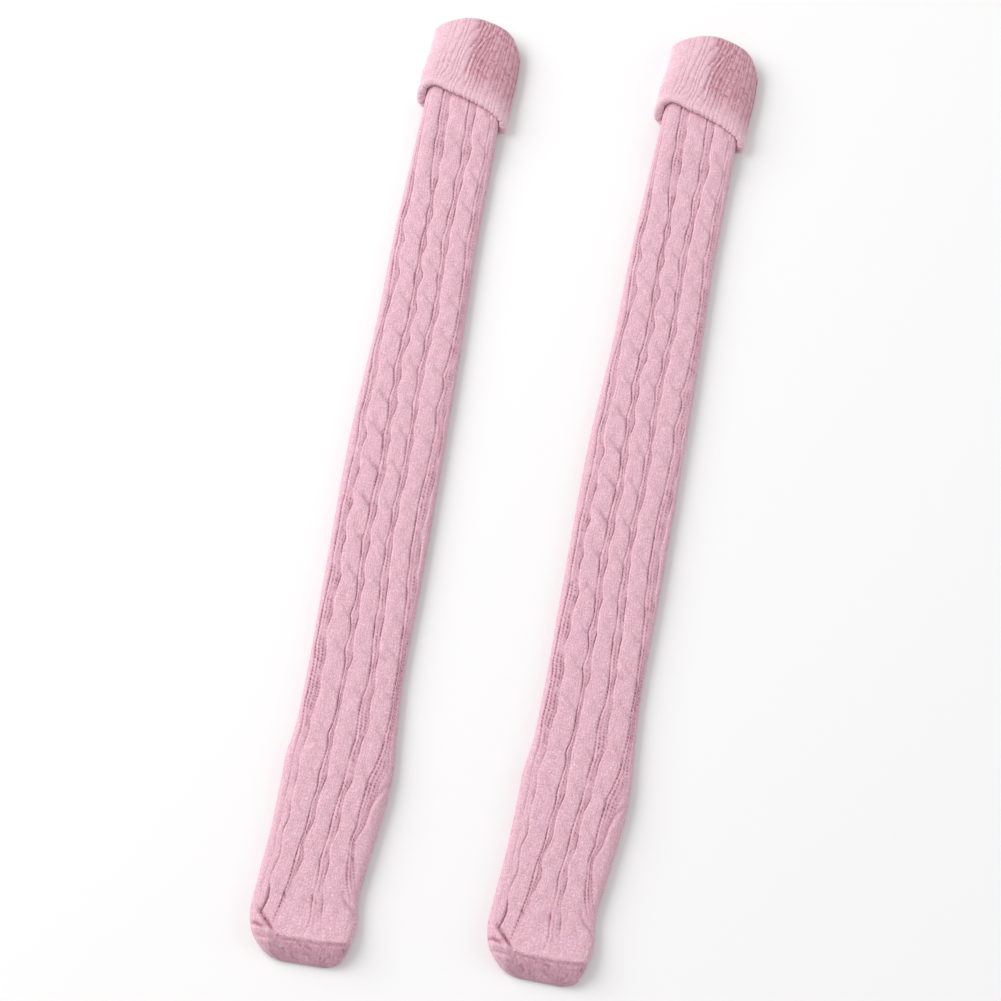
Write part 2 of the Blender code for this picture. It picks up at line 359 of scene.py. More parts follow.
    def depth(
        self,
        tree: bpy.types.NodeTree,
        painted_shade: bpy.types.NodeSocket,
        purl: bpy.types.NodeSocket,
        luck: bpy.types.Node,
        height: bpy.types.Node,
    ) -> bpy.types.Node:
        """Adds the nodes for how much painted shade, in the deep rose, shows, from 0 to 1.

        Args:
            tree: the material's nodes.
            painted_shade: how much painted shade a point takes, from 0 on top to 1 in a groove's depth.
            purl: 1 in a purl column, and 0 in a knit one.
            luck: a random number for each leg of each stitch.
            height: the relief of the stitches.
        """
        gap = add_node(tree, "ShaderNodeMath", {0: 1.0, 1: height}, operation="SUBTRACT")
        bold = add_node(tree, "ShaderNodeMath", {0: luck, 1: 1.6, 2: 0.5}, operation="MULTIPLY_ADD")
        bottom = add_node(tree, "ShaderNodeMath", {0: painted_shade, 1: self.sunk}, operation="MULTIPLY")
        holes = add_node(
            tree, "ShaderNodeMath", {0: gap, 1: bold, 2: bottom}, operation="MULTIPLY_ADD"
        )
        legs = add_node(tree, "ShaderNodeMath", {0: luck, 1: 0.7, 2: 0.35}, operation="MULTIPLY_ADD")
        dotted = add_node(tree, "ShaderNodeMix", {0: purl, 2: legs, 3: holes}, data_type="FLOAT")
        # A few stitches gape, and show painted shade in the deeper rose between their legs.
        gaping = add_node(
            tree,
            "ShaderNodeMapRange",
            {"Value": luck, "From Min": 0.84, "From Max": 1.0, "To Max": self.gaping},
        )
        return add_node(
            tree,
            "ShaderNodeMath",
            {0: painted_shade, 1: dotted, 2: gaping},
            operation="MULTIPLY_ADD",
            use_clamp=True,
        )

    def build(self) -> bpy.types.Material:
        """Makes the material.

        Returns:
            The material, which reads the UV map "stitches", the attribute of painted shade and "purl".
        """
        material = bpy.data.materials.new(self.name)
        material.use_nodes = True
        tree = material.node_tree
        tree.nodes.clear()
        stitches = add_node(tree, "ShaderNodeUVMap", uv_map="stitches")
        place = add_node(tree, "ShaderNodeTexCoord").outputs["Object"]
        purl = add_node(tree, "ShaderNodeAttribute", attribute_name="purl").outputs["Fac"]
        # The painted shade that each point takes, in grooves, creases and on shaded sides.
        painted_shade = add_node(tree, "ShaderNodeAttribute", attribute_name="painted_shade").outputs["Fac"]

        # Stitches are never quite in line.
        wander = add_node(tree, "ShaderNodeTexNoise", {"Vector": place, "Scale": 240.0, "Detail": 1.0})
        offset = add_node(
            tree,
            "ShaderNodeVectorMath",
            {0: wander.outputs["Color"], 1: (1.1, 1.7, 0.0), 2: stitches},
            operation="MULTIPLY_ADD",
        )
        split = add_node(tree, "ShaderNodeSeparateXYZ", {0: offset})
        wale, course = split.outputs["X"], split.outputs["Y"]
        height, slanted = self.stitch_heights(tree, wale, course, purl)

        # Loose fibres, finer than the stitches.
        fibre = add_node(
            tree,
            "ShaderNodeTexNoise",
            {"Vector": place, "Scale": 900.0, "Detail": 3.0, "Roughness": 0.6},
        )
        fuzzy = add_node(
            tree, "ShaderNodeMath", {0: fibre, 1: 0.55, 2: height}, operation="MULTIPLY_ADD"
        )
        bump = add_node(
            tree,
            "ShaderNodeBump",
            {"Strength": self.stitch_bump, "Distance": 0.0006, "Height": fuzzy},
        )

        # One random number for each leg of each stitch, because yarn isn't spun evenly.
        legs = add_node(tree, "ShaderNodeMath", {0: wale, 1: 2.0}, operation="MULTIPLY")
        leg_number = add_node(tree, "ShaderNodeMath", {0: legs}, operation="FLOOR")
        course_number = add_node(tree, "ShaderNodeMath", {0: slanted}, operation="FLOOR")
        stitch_number = add_node(tree, "ShaderNodeCombineXYZ", {0: leg_number, 1: course_number})
        luck = add_node(tree, "ShaderNodeTexWhiteNoise", {"Vector": stitch_number})

        # The yarn is mixed towards the deep rose where painted shade falls.
        colour = add_node(
            tree,
            "ShaderNodeMix",
            {
                0: self.depth(tree, painted_shade, purl, luck, height),
                6: self.spun_colour(tree, place, fibre, luck, height),
                7: linear(self.deep),
            },
            data_type="RGBA",
        )
        shader = add_node(
            tree,
            "ShaderNodeBsdfPrincipled",
            {
                "Base Color": colour.outputs[2],
                "Roughness": self.roughness,
                "IOR": 1.47,
                "Specular IOR Level": 0.25,
                "Sheen Weight": 0.25,
                "Sheen Roughness": 0.6,
                "Subsurface Weight": 0.2,
                "Subsurface Radius": (1.0, 0.8, 0.7),
                "Subsurface Scale": 0.0015,
                "Normal": bump,
            },
        )
        add_node(tree, "ShaderNodeOutputMaterial", {"Surface": shader})
        return material


@dataclass(frozen=True)
class MattPaper:
    """A roll of matt backdrop paper: pale, with no shine and no pattern."""

    name: str = "matt_backdrop_paper"
    colour: str = "#f7f6f6"

    def build(self) -> bpy.types.Material:
        """Makes the material."""
        material = bpy.data.materials.new(self.name)
        material.use_nodes = True
        shader = material.node_tree.nodes["Principled BSDF"]
        shader.inputs["Base Color"].default_value = linear(self.colour)
        shader.inputs["Roughness"].default_value = 1.0
        shader.inputs["Specular IOR Level"].default_value = 0.1
        return material


# ---------------------------------------------------------------------------------------------
# Shells
# ---------------------------------------------------------------------------------------------


class Ends(Enum):
    """How a shell's first and last ring are finished."""

    CAPPED = "capped"
    LOOPED = "looped"


@dataclass
class Shell:
    """A closed wall of cloth as rings of points, all with the same number of points.

    Fields:
        points: (rings, columns, 3), in millimetres, in the sock's own axes.
        stitches: (strips, columns, 4, 2), the stitch coordinates of each face's corners.
        marks: values for each point, by the name of their attribute.
        ends: how the first and the last ring are finished.
    """

    points: Floats
    stitches: Floats
    marks: dict[str, Floats]
    ends: Ends

    def faces(self) -> list[tuple[int, ...]]:
        """The faces as numbers of points: the strips first, in the order of stitches, then caps."""
        rings, columns = self.points.shape[:2]
        number = np.arange(rings * columns).reshape(rings, columns)
        if self.ends is Ends.LOOPED:
            number = np.vstack([number, number[:1]])
        here, there = number[:-1], number[1:]
        quads = np.stack(
            [here, np.roll(here, -1, axis=1), np.roll(there, -1, axis=1), there], axis=-1
        )
        faces = [tuple(quad) for quad in quads.reshape(-1, 4).tolist()]
        if self.ends is Ends.CAPPED:
            faces.append(tuple(number[0][::-1].tolist()))
            faces.append(tuple(number[-1].tolist()))
        return faces


@dataclass(frozen=True)
class Place:
    """Where a sock lies: its toe end in the row's frame in metres, and its turn in degrees."""

    side: str
    x: float
    y: float
    turn: float

    def lay(self, points: Floats) -> Floats:
        """Points of the sock's own axes in the row's frame.

        Args:
            points: (n, 3), in millimetres.

        Returns:
            (n, 3), in metres.
        """
        angle = math.radians(self.turn)
        x, y, z = (points * MM).T
        return np.stack(
            [
                self.x + x * math.cos(angle) - y * math.sin(angle),
                self.y + x * math.sin(angle) + y * math.cos(angle),
                z,
            ],
            axis=1,
        )


def lay_shell(name: str, shell: Shell, place: Place, material: bpy.types.Material) -> bpy.types.Object:
    """Makes a shell into an object.

    Args:
        name: the object's name.
        shell: the shell.
        place: where its sock lies.
        material: its finish.

    Returns:
        The object, linked to the scene.
    """
    mesh = bpy.data.meshes.new(name)
    mesh.from_pydata(place.lay(shell.points.reshape(-1, 3)).tolist(), [], shell.faces())
    for mark, values in shell.marks.items():
        layer = mesh.attributes.new(mark, "FLOAT", "POINT")
        layer.data.foreach_set("value", values.reshape(-1).astype(np.float32))
    corners = np.zeros((len(mesh.loops), 2), np.float32)
    corners[: shell.stitches.size // 2] = shell.stitches.reshape(-1, 2)
    mesh.uv_layers.new(name="stitches").data.foreach_set("uv", corners.reshape(-1))
    mesh.materials.append(material)
    mesh.shade_smooth()
    piece = bpy.data.objects.new(name, mesh)
    bpy.context.scene.collection.objects.link(piece)
    return piece


def half_oval(
    left: Floats, right: Floats, level: Floats, height: Floats, roundness: float, samples: int = 180
) -> tuple[Floats, Floats]:
    """Half of a flattened oval in each ring, from its left edge to its right one.

    Args:
        left: each ring's left edge.
        right: each ring's right edge.
        level: the height of its edges.
        height: how far its middle rises over its edges. It is negative for a lower half.
        roundness: 2 for an ellipse, and more for a flatter, squarer form.
        samples: the number of points.

    Returns:
        x and z, each (rings, samples).
    """
    angles = np.linspace(math.pi, 0, samples)
    cosines, sines = np.cos(angles), np.abs(np.sin(angles))
    across = np.sign(cosines) * np.abs(cosines) ** (2 / roundness)
    x = ((left + right) / 2)[:, None] + across * ((right - left) / 2)[:, None]
    z = level[:, None] + height[:, None] * sines ** (2 / roundness)
    return x, z


def along_profile(x: Floats, z: Floats, wanted: Floats) -> tuple[Floats, Floats]:
    """Points at chosen shares of the length of each ring's profile.

    Args:
        x: (rings, samples), rising along each profile.
        z: (rings, samples).
        wanted: (rings, columns), the shares, from 0 at its start to 1 at its end.

    Returns:
        x and z of the columns, each (rings, columns).
    """
    lengths = profile_lengths(x, z)
    made_x, made_z = np.empty_like(wanted), np.empty_like(wanted)
    for ring, target in enumerate(wanted):
        made_x[ring] = np.interp(target, lengths[ring], x[ring])
        made_z[ring] = np.interp(target, lengths[ring], z[ring])
    return made_x, made_z


def profile_lengths(x: Floats, z: Floats) -> Floats:
    """The share of each ring's profile that is passed at each of its samples, (rings, samples)."""
    steps = np.hypot(np.diff(x, axis=1), np.diff(z, axis=1))
    lengths = np.concatenate([np.zeros((len(x), 1)), np.cumsum(steps, axis=1)], axis=1)
    return lengths / lengths[:, -1:]


def closed_rings(upper: Floats, lower: Floats) -> Floats:
    """Rings that run over an upper face from left to right, and back along a lower one."""
    return np.concatenate([upper[:, :-1], lower[:, :0:-1]], axis=1)


def oval_rings(
    left: Floats,
    right: Floats,
    level: Floats,
    halves: Sequence[tuple[int, Floats, float]],
) -> tuple[Floats, Floats]:
    """Flattened ovals with evenly spaced points.

    Args:
        left: each ring's left edge.
        right: each ring's right edge.
        level: the height of its edges.
        halves: for the upper and the lower half, the number of its columns, how far its middle
            rises over the edges, and its roundness.

    Returns:
        x and z, each (rings, columns).
    """
    faces = []
    for count, height, roundness in halves:
        wanted = np.broadcast_to(np.linspace(0.0, 1.0, count + 1), (len(left), count + 1))
        faces.append(along_profile(*half_oval(left, right, level, height, roundness), wanted))
    (upper_x, upper_z), (lower_x, lower_z) = faces
    return closed_rings(upper_x, lower_x), closed_rings(upper_z, lower_z)


@dataclass(frozen=True)
class Crease:
    """A soft trough pressed into the upper face along a bent line, or a ridge raised along it.

    Fields:
        path: the corners of the line, in the sock's own axes.
        depth: how deep its middle is, in millimetres. It is negative for a ridge.
        width: how far to either side it fades out.
        blunt_end: the share of the way from which it keeps its depth to the end.
        bluntness: 1 for a line that thins out evenly from its middle, and less for a blunter one.
    """

    path: tuple[tuple[float, float], ...]
    depth: float
    width: float
    blunt_end: float = 0.03
    bluntness: float = 0.4

    def drop(self, x: Floats, y: Floats) -> Floats:
        """How far it lowers each point."""
        distance, share = distance_to_path(x, y, self.path)
        share = np.clip(share, self.blunt_end, 1 - self.blunt_end)
        tapered = np.sin(math.pi * share) ** self.bluntness
        return self.depth * tapered * bell(distance, self.width)


def uneven(x: Floats, y: Floats) -> Floats:
    """The cloth's gentle lumps, from about -1 to 1: ripples in four directions that never repeat."""
    broad = np.sin(0.31 * x + 0.13 * y + 1.3) * np.sin(0.17 * y - 0.22 * x)
    return 0.5 * broad + 0.3 * np.sin(0.47 * x - 0.29 * y + 0.5) + 0.2 * np.sin(0.8 * x + 0.55 * y)


# ---------------------------------------------------------------------------------------------
# The leg and foot
# ---------------------------------------------------------------------------------------------


class Section(NamedTuple):
    """The flattened tube at y: its edges, and its thickness at the bottom of the grooves."""

    y: float
    left: float
    right: float
    thick: float


class Ladders(NamedTuple):
    """The x of the two grooves of each ladder between the cables, at y."""

    y: float
    a0: float
    a1: float
    b0: float
    b1: float
    c0: float
    c1: float
    d0: float
    d1: float


SECTIONS = (
    Section(0, -18, 14, 1.0),
    Section(1.5, -25, 20, 3.6),
    Section(3, -28.5, 23, 5.0),
    Section(8, -35, 26.5, 8.6),
    Section(15, -41, 29, 11.4),
    Section(22, -44, 31, 11.0),
    Section(32, -46, 32, 10.0),
    Section(50, -45.4, 30, 9.2),
    Section(90, -43, 34, 9.0),
    Section(130, -42.4, 38, 9.2),
    Section(150, -42.5, 38.4, 9.2),
    Section(170, -39.9, 36.8, 8.8),
    Section(210, -39, 34, 8.4),
    Section(300, -40.4, 34, 8.4),
    Section(430, -41.6, 33, 8.4),
    Section(510, -38.6, 31.8, 8.4),
    Section(600, -38.2, 29.6, 8.4),
    Section(676, -35.6, 30.2, 8.4),
    Section(704, -34.4, 30, 8.4),
    Section(752, -33.6, 30, 8.4),
)

LADDERS = (
    Ladders(22, -42.5, -38.5, -27.5, -25, -2.8, 8.8, 26.5, 30),
    Ladders(31, -41.5, -37.2, -26, -23.5, -1.2, 6.8, 27, 30.5),
    Ladders(41, -40, -34.6, -24.2, -21.6, -2.2, 5.8, 26.5, 30),
    Ladders(46, -39.8, -34.4, -23.6, -21, -2.3, 5.2, 25.5, 29.5),
    Ladders(57, -39.6, -35.4, -21.6, -18.4, -1.6, 3.4, 21.5, 27),
    Ladders(66, -38.5, -33.8, -20.8, -16.6, -1.6, 4, 19, 24.5),
    Ladders(74, -37, -31.8, -20.2, -14.6, -2.2, 4.4, 18.2, 22.6),
    Ladders(85, -37, -32.6, -19, -16.2, -0.8, 3.4, 17.6, 21),
    Ladders(92, -37, -32.8, -17.6, -14.6, 0, 5.4, 17.2, 20.6),
    Ladders(104, -36.5, -30.2, -16.6, -12, 0.6, 6.6, 19.6, 25),
    Ladders(114, -36.5, -31, -16.2, -11.8, 1.4, 6.8, 19.8, 26.5),
    Ladders(127, -36, -30.8, -14.4, -10.8, 3, 7.6, 21, 28.6),
    Ladders(138, -36, -30.3, -14.8, -8.6, 4.2, 10.6, 22, 30.5),
    Ladders(151, -36.2, -31.6, -13.3, -9, 5, 11.1, 25.4, 34),
    Ladders(161, -35.5, -29.5, -12.6, -9.2, 5.8, 11.4, 27.6, 33.4),
    Ladders(169, -34.6, -28.4, -13.8, -9.8, 6.9, 12.4, 28.2, 33.2),
    Ladders(178, -34.6, -29, -11.8, -8.6, 6.6, 15, 28.6, 32.8),
    Ladders(190, -35.6, -28, -11.2, -8.4, 5.8, 13.4, 29.4, 32.8),
    Ladders(201, -34.8, -26.6, -11.6, -8.4, 6.3, 13.2, 29.2, 32.2),
    Ladders(210, -34.8, -27.2, -11.1, -7.8, 8, 14.3, 28.8, 31.8),
    Ladders(219, -34.6, -27.2, -11.2, -8.2, 8.2, 12.8, 28.8, 31.8),
    Ladders(229, -35, -26.9, -12, -6.6, 7.8, 12.2, 28.6, 31.8),
    Ladders(236, -36, -27.6, -13.5, -7, 7.2, 12.8, 28.2, 31.8),
    Ladders(246, -35.8, -29, -12.1, -8, 6.1, 11.6, 27.6, 31.6),
    Ladders(255, -36, -29.1, -12.4, -8.5, 5.6, 11.1, 27.2, 31.6),
    Ladders(264, -36, -27.9, -14.3, -7.8, 5, 11.4, 26.8, 31.4),
    Ladders(272, -36, -28.3, -13.2, -8.4, 5.5, 11.6, 26.2, 31.4),
    Ladders(280, -35.6, -28.2, -12.6, -9, 5, 10.2, 25.5, 31.4),
    Ladders(286, -35.4, -28, -13.2, -9, 4.4, 9.8, 25, 31.4),
    Ladders(293, -35.3, -27, -14.1, -8.4, 3.4, 9.6, 24, 31.4),
    Ladders(300, -35.3, -28, -14.4, -9.6, 3, 9.2, 23.2, 31),
    Ladders(310, -36, -29.3, -14.9, -10.8, 3.2, 8.3, 23.1, 30.2),
    Ladders(318, -36.2, -30.3, -15.5, -10.2, 2.8, 7.7, 22, 29.4),
    Ladders(324, -36.2, -29, -16.2, -9.9, 2.1, 7.6, 21.9, 29.2),
    Ladders(333, -36.2, -30.2, -15.4, -10.7, 3, 6.9, 21.8, 28.9),
    Ladders(341, -36.4, -30.7, -15, -10.5, 3.3, 6.6, 21.7, 28.3),
    Ladders(348, -36.8, -30.4, -15.1, -9.6, 2.8, 7.4, 21.6, 28.7),
    Ladders(355, -36.6, -28.8, -15.2, -9.8, 2.3, 7.4, 21.6, 29.2),
    Ladders(364, -36.1, -29.9, -15, -9.8, 3.4, 7.2, 21.5, 29.5),
    Ladders(374, -36.2, -29.9, -14.6, -9.2, 3.6, 8, 21.8, 29.8),
    Ladders(385, -36, -29, -14.2, -8, 3.8, 8.9, 22.9, 30.4),
    Ladders(395, -35.2, -29.6, -13.8, -9, 4.6, 8.4, 23.1, 30.4),
    Ladders(404, -35.5, -29.8, -14.3, -9.8, 4.1, 8.4, 23.6, 30.4),
    Ladders(412, -35.2, -28.3, -15.4, -9.3, 3.5, 9.3, 23.5, 30.4),
    Ladders(420, -36, -30, -15, -10.6, 4.6, 7.6, 24.2, 30.4),
    Ladders(429, -36.5, -31.4, -14.5, -11.1, 4.6, 7.4, 23.6, 29.6),
    Ladders(436, -36, -31.8, -15.4, -9.9, 3.8, 7.6, 22.5, 29.2),
    Ladders(443, -35.3, -30.6, -16.2, -9.3, 2.7, 7.8, 22, 29.8),
    Ladders(451, -34.8, -30, -15.8, -10.8, 3.1, 6.8, 23, 29.1),
    Ladders(459, -35, -29.6, -14.9, -11, 3.4, 7, 24, 29.6),
    Ladders(466, -35.5, -29.4, -16.2, -10.5, 2.6, 7.3, 23.6, 29.8),
    Ladders(472, -35, -29.2, -16.9, -11.1, 1.7, 7.4, 22, 29.8),
    Ladders(480, -35.8, -30.3, -16.3, -12, 2.9, 7, 23.4, 29.6),
    Ladders(490, -35.6, -31, -15.4, -10.8, 3.8, 7.5, 24.2, 29.4),
    Ladders(499, -34.6, -31, -15.6, -9.1, 2.8, 8.4, 24.8, 29.4),
    Ladders(508, -33.8, -31.4, -14.2, -10, 3.7, 8.1, 25, 29.4),
    Ladders(517, -33.4, -31, -13.8, -9, 4.8, 8.6, 25.3, 29.2),
    Ladders(526, -32.6, -30.2, -14.1, -7.9, 4.7, 9.9, 25.2, 29),
    Ladders(535, -32.2, -29.6, -13.6, -9.8, 5, 8.9, 25, 28.8),
    Ladders(545, -33, -28, -13.7, -10.5, 5.3, 8, 24.5, 28.6),
    Ladders(556, -33.5, -27.2, -14.8, -8.4, 3.4, 8, 24.2, 28.4),
    Ladders(566, -34, -29.6, -14.1, -11, 3.9, 7.6, 23.4, 28),
    Ladders(576, -34.3, -30, -14.6, -11.8, 3.6, 7.2, 23, 27.6),
    Ladders(586, -34, -28.3, -15.2, -10.1, 1.7, 7.5, 21.7, 27.4),
    Ladders(595, -34.2, -30.6, -14.4, -11.8, 1.8, 7.2, 21.3, 27.2),
    Ladders(604, -34.5, -31.5, -13.5, -10.9, 3, 7.4, 22, 27),
    Ladders(613, -33.9, -30.8, -14.7, -9.6, 2.6, 7.6, 22.2, 26.8),
    Ladders(622, -32.8, -30, -13.6, -11, 3.9, 7.9, 21.8, 26.6),
    Ladders(632, -32.2, -29.6, -14.2, -11.6, 4.3, 8.2, 21.6, 26.6),
    Ladders(641, -32.6, -30, -16, -11.6, 3.1, 8.9, 22, 26.6),
    Ladders(649, -32.8, -30.6, -17.2, -10.9, 3.1, 9.2, 22.4, 26.6),
    Ladders(659, -33, -31, -17.8, -11.3, 4.9, 9.7, 23, 26.4),
    Ladders(669, -33, -31.2, -18.3, -11.1, 4.4, 11, 23.3, 26.4),
    Ladders(679, -33, -31.4, -19.4, -11.3, 3.7, 11.6, 23.3, 26.4),
    Ladders(690, -32.8, -31.2, -18.3, -11.5, 4.4, 10, 23, 26.4),
    Ladders(700, -32.6, -31, -19.5, -11.9, 3.4, 9.5, 23, 26.4),
    Ladders(715, -32.4, -30.8, -19.5, -12.3, 3.2, 10, 23, 26.4),
    Ladders(752, -31.8, -30.2, -19.3, -12.6, 1.8, 8.5, 23.8, 26.6),
)


class Crossing(NamedTuple):
    """The y at which the cables make a crossing, and its number counted down from the cuff's hem."""

    y: float
    number: float


class GrooveDepths(NamedTuple):
    """How deep each groove is at y, as a share of the deepest."""

    y: float
    a0: float
    a1: float
    b0: float
    b1: float
    c0: float
    c1: float
    d0: float
    d1: float


class Strength(NamedTuple):
    """How much of their full relief the cables have at y, and the one on the left its own share."""

    y: float
    cables: float
    left_cable: float


class Openness(NamedTuple):
    """How far each ladder is pulled open at y: 0 shows its rib, and 1 only rungs."""

    y: float
    a: float
    b: float
    c: float
    d: float


CROSSING_PLACES = (
    (16, 46, 76, 108, 139, 172, 204, 235, 265, 295, 326, 355, 385)
    + (415, 444, 474, 503, 533, 563, 592, 620, 650, 680, 710, 740, 770)
)
CROSSINGS_BELOW_CUFF = 22

CROSSINGS = tuple(
    Crossing(y, CROSSINGS_BELOW_CUFF - index) for index, y in enumerate(CROSSING_PLACES)
)

STRENGTHS = (
    Strength(30, 0.0, 1.0),
    Strength(50, 0.4, 1.0),
    Strength(80, 0.6, 1.0),
    Strength(120, 0.8, 1.0),
    Strength(170, 0.9, 1.0),
    Strength(210, 1.0, 1.0),
    Strength(630, 1.0, 1.0),
    Strength(642, 1.0, 0.9),
    Strength(656, 1.0, 0.1),
    Strength(670, 1.0, 0.0),
    Strength(752, 0.9, 0.0),
)

OPENNESS = (
    Openness(0, 0.0, 0.0, 0.0, 0.0),
    Openness(20, 0.0, 0.6, 0.3, 0.0),
    Openness(45, 0.4, 1.0, 0.4, 0.5),
    Openness(75, 0.5, 0.9, 0.4, 1.0),
    Openness(95, 0.3, 0.2, 0.2, 0.8),
    Openness(120, 0.0, 0.0, 0.3, 1.0),
    Openness(160, 0.6, 0.0, 0.7, 1.0),
    Openness(200, 1.0, 0.0, 0.6, 1.0),
    Openness(240, 0.5, 0.0, 0.2, 1.0),
    Openness(275, 0.0, 0.0, 0.2, 0.3),
    Openness(300, 0.0, 0.1, 0.2, 0.1),
    Openness(450, 0.1, 0.4, 0.5, 0.6),
    Openness(600, 0.1, 0.3, 0.3, 0.7),
    Openness(640, 0.0, 0.2, 0.2, 0.2),
    Openness(752, 0.0, 0.2, 0.0, 0.0),
)

GROOVE_DEPTHS = (
    GrooveDepths(20, 0.0, 0.5, 0.6, 0.0, 0.4, 0.5, 0.0, 0.0),
    GrooveDepths(45, 0.0, 0.8, 1.0, 0.0, 0.8, 0.7, 0.0, 0.0),
    GrooveDepths(60, 0.0, 0.7, 0.8, 0.6, 0.7, 0.6, 0.8, 0.5),
    GrooveDepths(90, 0.0, 0.6, 0.9, 0.6, 0.9, 0.7, 1.0, 0.5),
    GrooveDepths(150, 0.0, 0.5, 1.0, 0.5, 0.9, 0.8, 1.0, 0.5),
    GrooveDepths(190, 0.5, 0.7, 1.0, 0.3, 0.9, 0.9, 0.9, 0.6),
    GrooveDepths(250, 0.8, 0.8, 1.0, 0.6, 1.0, 0.9, 0.9, 0.5),
    GrooveDepths(300, 0.8, 0.8, 0.9, 0.8, 0.6, 0.9, 1.0, 0.6),
    GrooveDepths(380, 0.6, 0.7, 0.8, 0.6, 0.6, 0.6, 0.8, 0.8),
    GrooveDepths(440, 0.7, 0.4, 1.0, 0.7, 0.6, 0.5, 0.8, 0.8),
    GrooveDepths(500, 0.5, 0.3, 1.0, 0.7, 0.7, 0.5, 0.6, 0.3),
    GrooveDepths(580, 0.7, 0.5, 1.0, 0.6, 0.7, 0.6, 0.7, 0.5),
    GrooveDepths(640, 0.6, 0.3, 1.0, 0.7, 0.8, 1.0, 0.5, 0.5),
    GrooveDepths(655, 0.0, 0.0, 0.9, 0.7, 0.8, 0.9, 0.2, 0.3),
    GrooveDepths(752, 0.0, 0.0, 1.0, 0.6, 0.9, 0.6, 0.2, 0.3),
)

FACE_CREASES = (
    Crease(((-27, 16.4), (-17, 13.2), (-3, 13.8), (8, 13.6), (20, 14.4), (30, 16.4)), 0.9, 1.0),
    Crease(((-26, 18.9), (-13, 16.2), (-2, 16.4), (8, 16.2), (20, 17.0), (31, 18.8)), -0.7, 1.3),
    Crease(((-34.5, 52.0), (-34.4, 42.0), (-37.4, 30.0)), 1.3, 1.0),
    Crease(((-38.6, 32.6), (-32.5, 25.4), (-25.0, 17.6)), 3.0, 1.3),
    Crease(((-43.5, 32.5), (-38.0, 27.0), (-29.0, 18.8)), -1.8, 1.3),
    Crease(((-45.5, 22.4), (-39.0, 22.0), (-32.0, 19.6)), 2.6, 1.3),
    Crease(((-44.0, 19.0), (-36.0, 18.4), (-27.0, 15.4)), -1.4, 1.3),
    Crease(((-40.0, 14.6), (-33.0, 13.6), (-26.0, 12.6)), 1.0, 1.4),
    Crease(((-37.0, 11.0), (-31.0, 10.8), (-25.0, 8.4)), -0.8, 1.6),
    Crease(((-23.8, 47.4), (-21.2, 43.4)), 1.8, 1.1),
    Crease(((-3.0, 48.0), (-1.8, 44.0)), 1.2, 1.0),
    Crease(((18.6, 54.0), (19.4, 50.4), (22.6, 45.2), (27.8, 41.0), (30.4, 35.0)), 1.2, 1.0),
    Crease(((38.2, 134.5), (32.6, 127.6), (29.2, 118.0), (27.6, 104.0)), -1.3, 1.3),
    Crease(((35.8, 137.0), (30.6, 128.6), (27.4, 118.0), (25.8, 104.0)), 1.1, 1.2),
    Crease(((12.4, 247.4), (16.0, 241.0), (21.5, 238.6), (26.4, 234.6)), -0.5, 1.4),
    Crease(((12.6, 238.0), (15.0, 233.2), (20.6, 231.2)), 0.8, 1.0),
    Crease(((-25.0, 206.0), (-21.0, 203.6), (-19.4, 199.5)), 0.5, 0.8),
    Crease(((-26.0, 164.0), (-20.5, 161.0), (-18.0, 156.0)), 0.4, 0.9),
    Crease(((-28.6, 133.0), (-25.0, 131.0), (-23.4, 127.6)), 0.6, 0.8),
)


GROOVES = len(Ladders._fields) - 1
LEFT_CABLE = 1


class Zone(Enum):
    """What a column of the knit belongs to."""

    BAND = "band"
    LADDER = "ladder"
    CABLE = "cable"


@dataclass(frozen=True)
class Layout:
    """The columns of one face.

    Fields:
        zones: (zone, groove on its left, number of columns), from left to right.
        places: each column's place, as the number of the zone it starts in plus its share of the
            way over it.
    """

    zones: list[tuple[Zone, int, int]]
    places: Floats


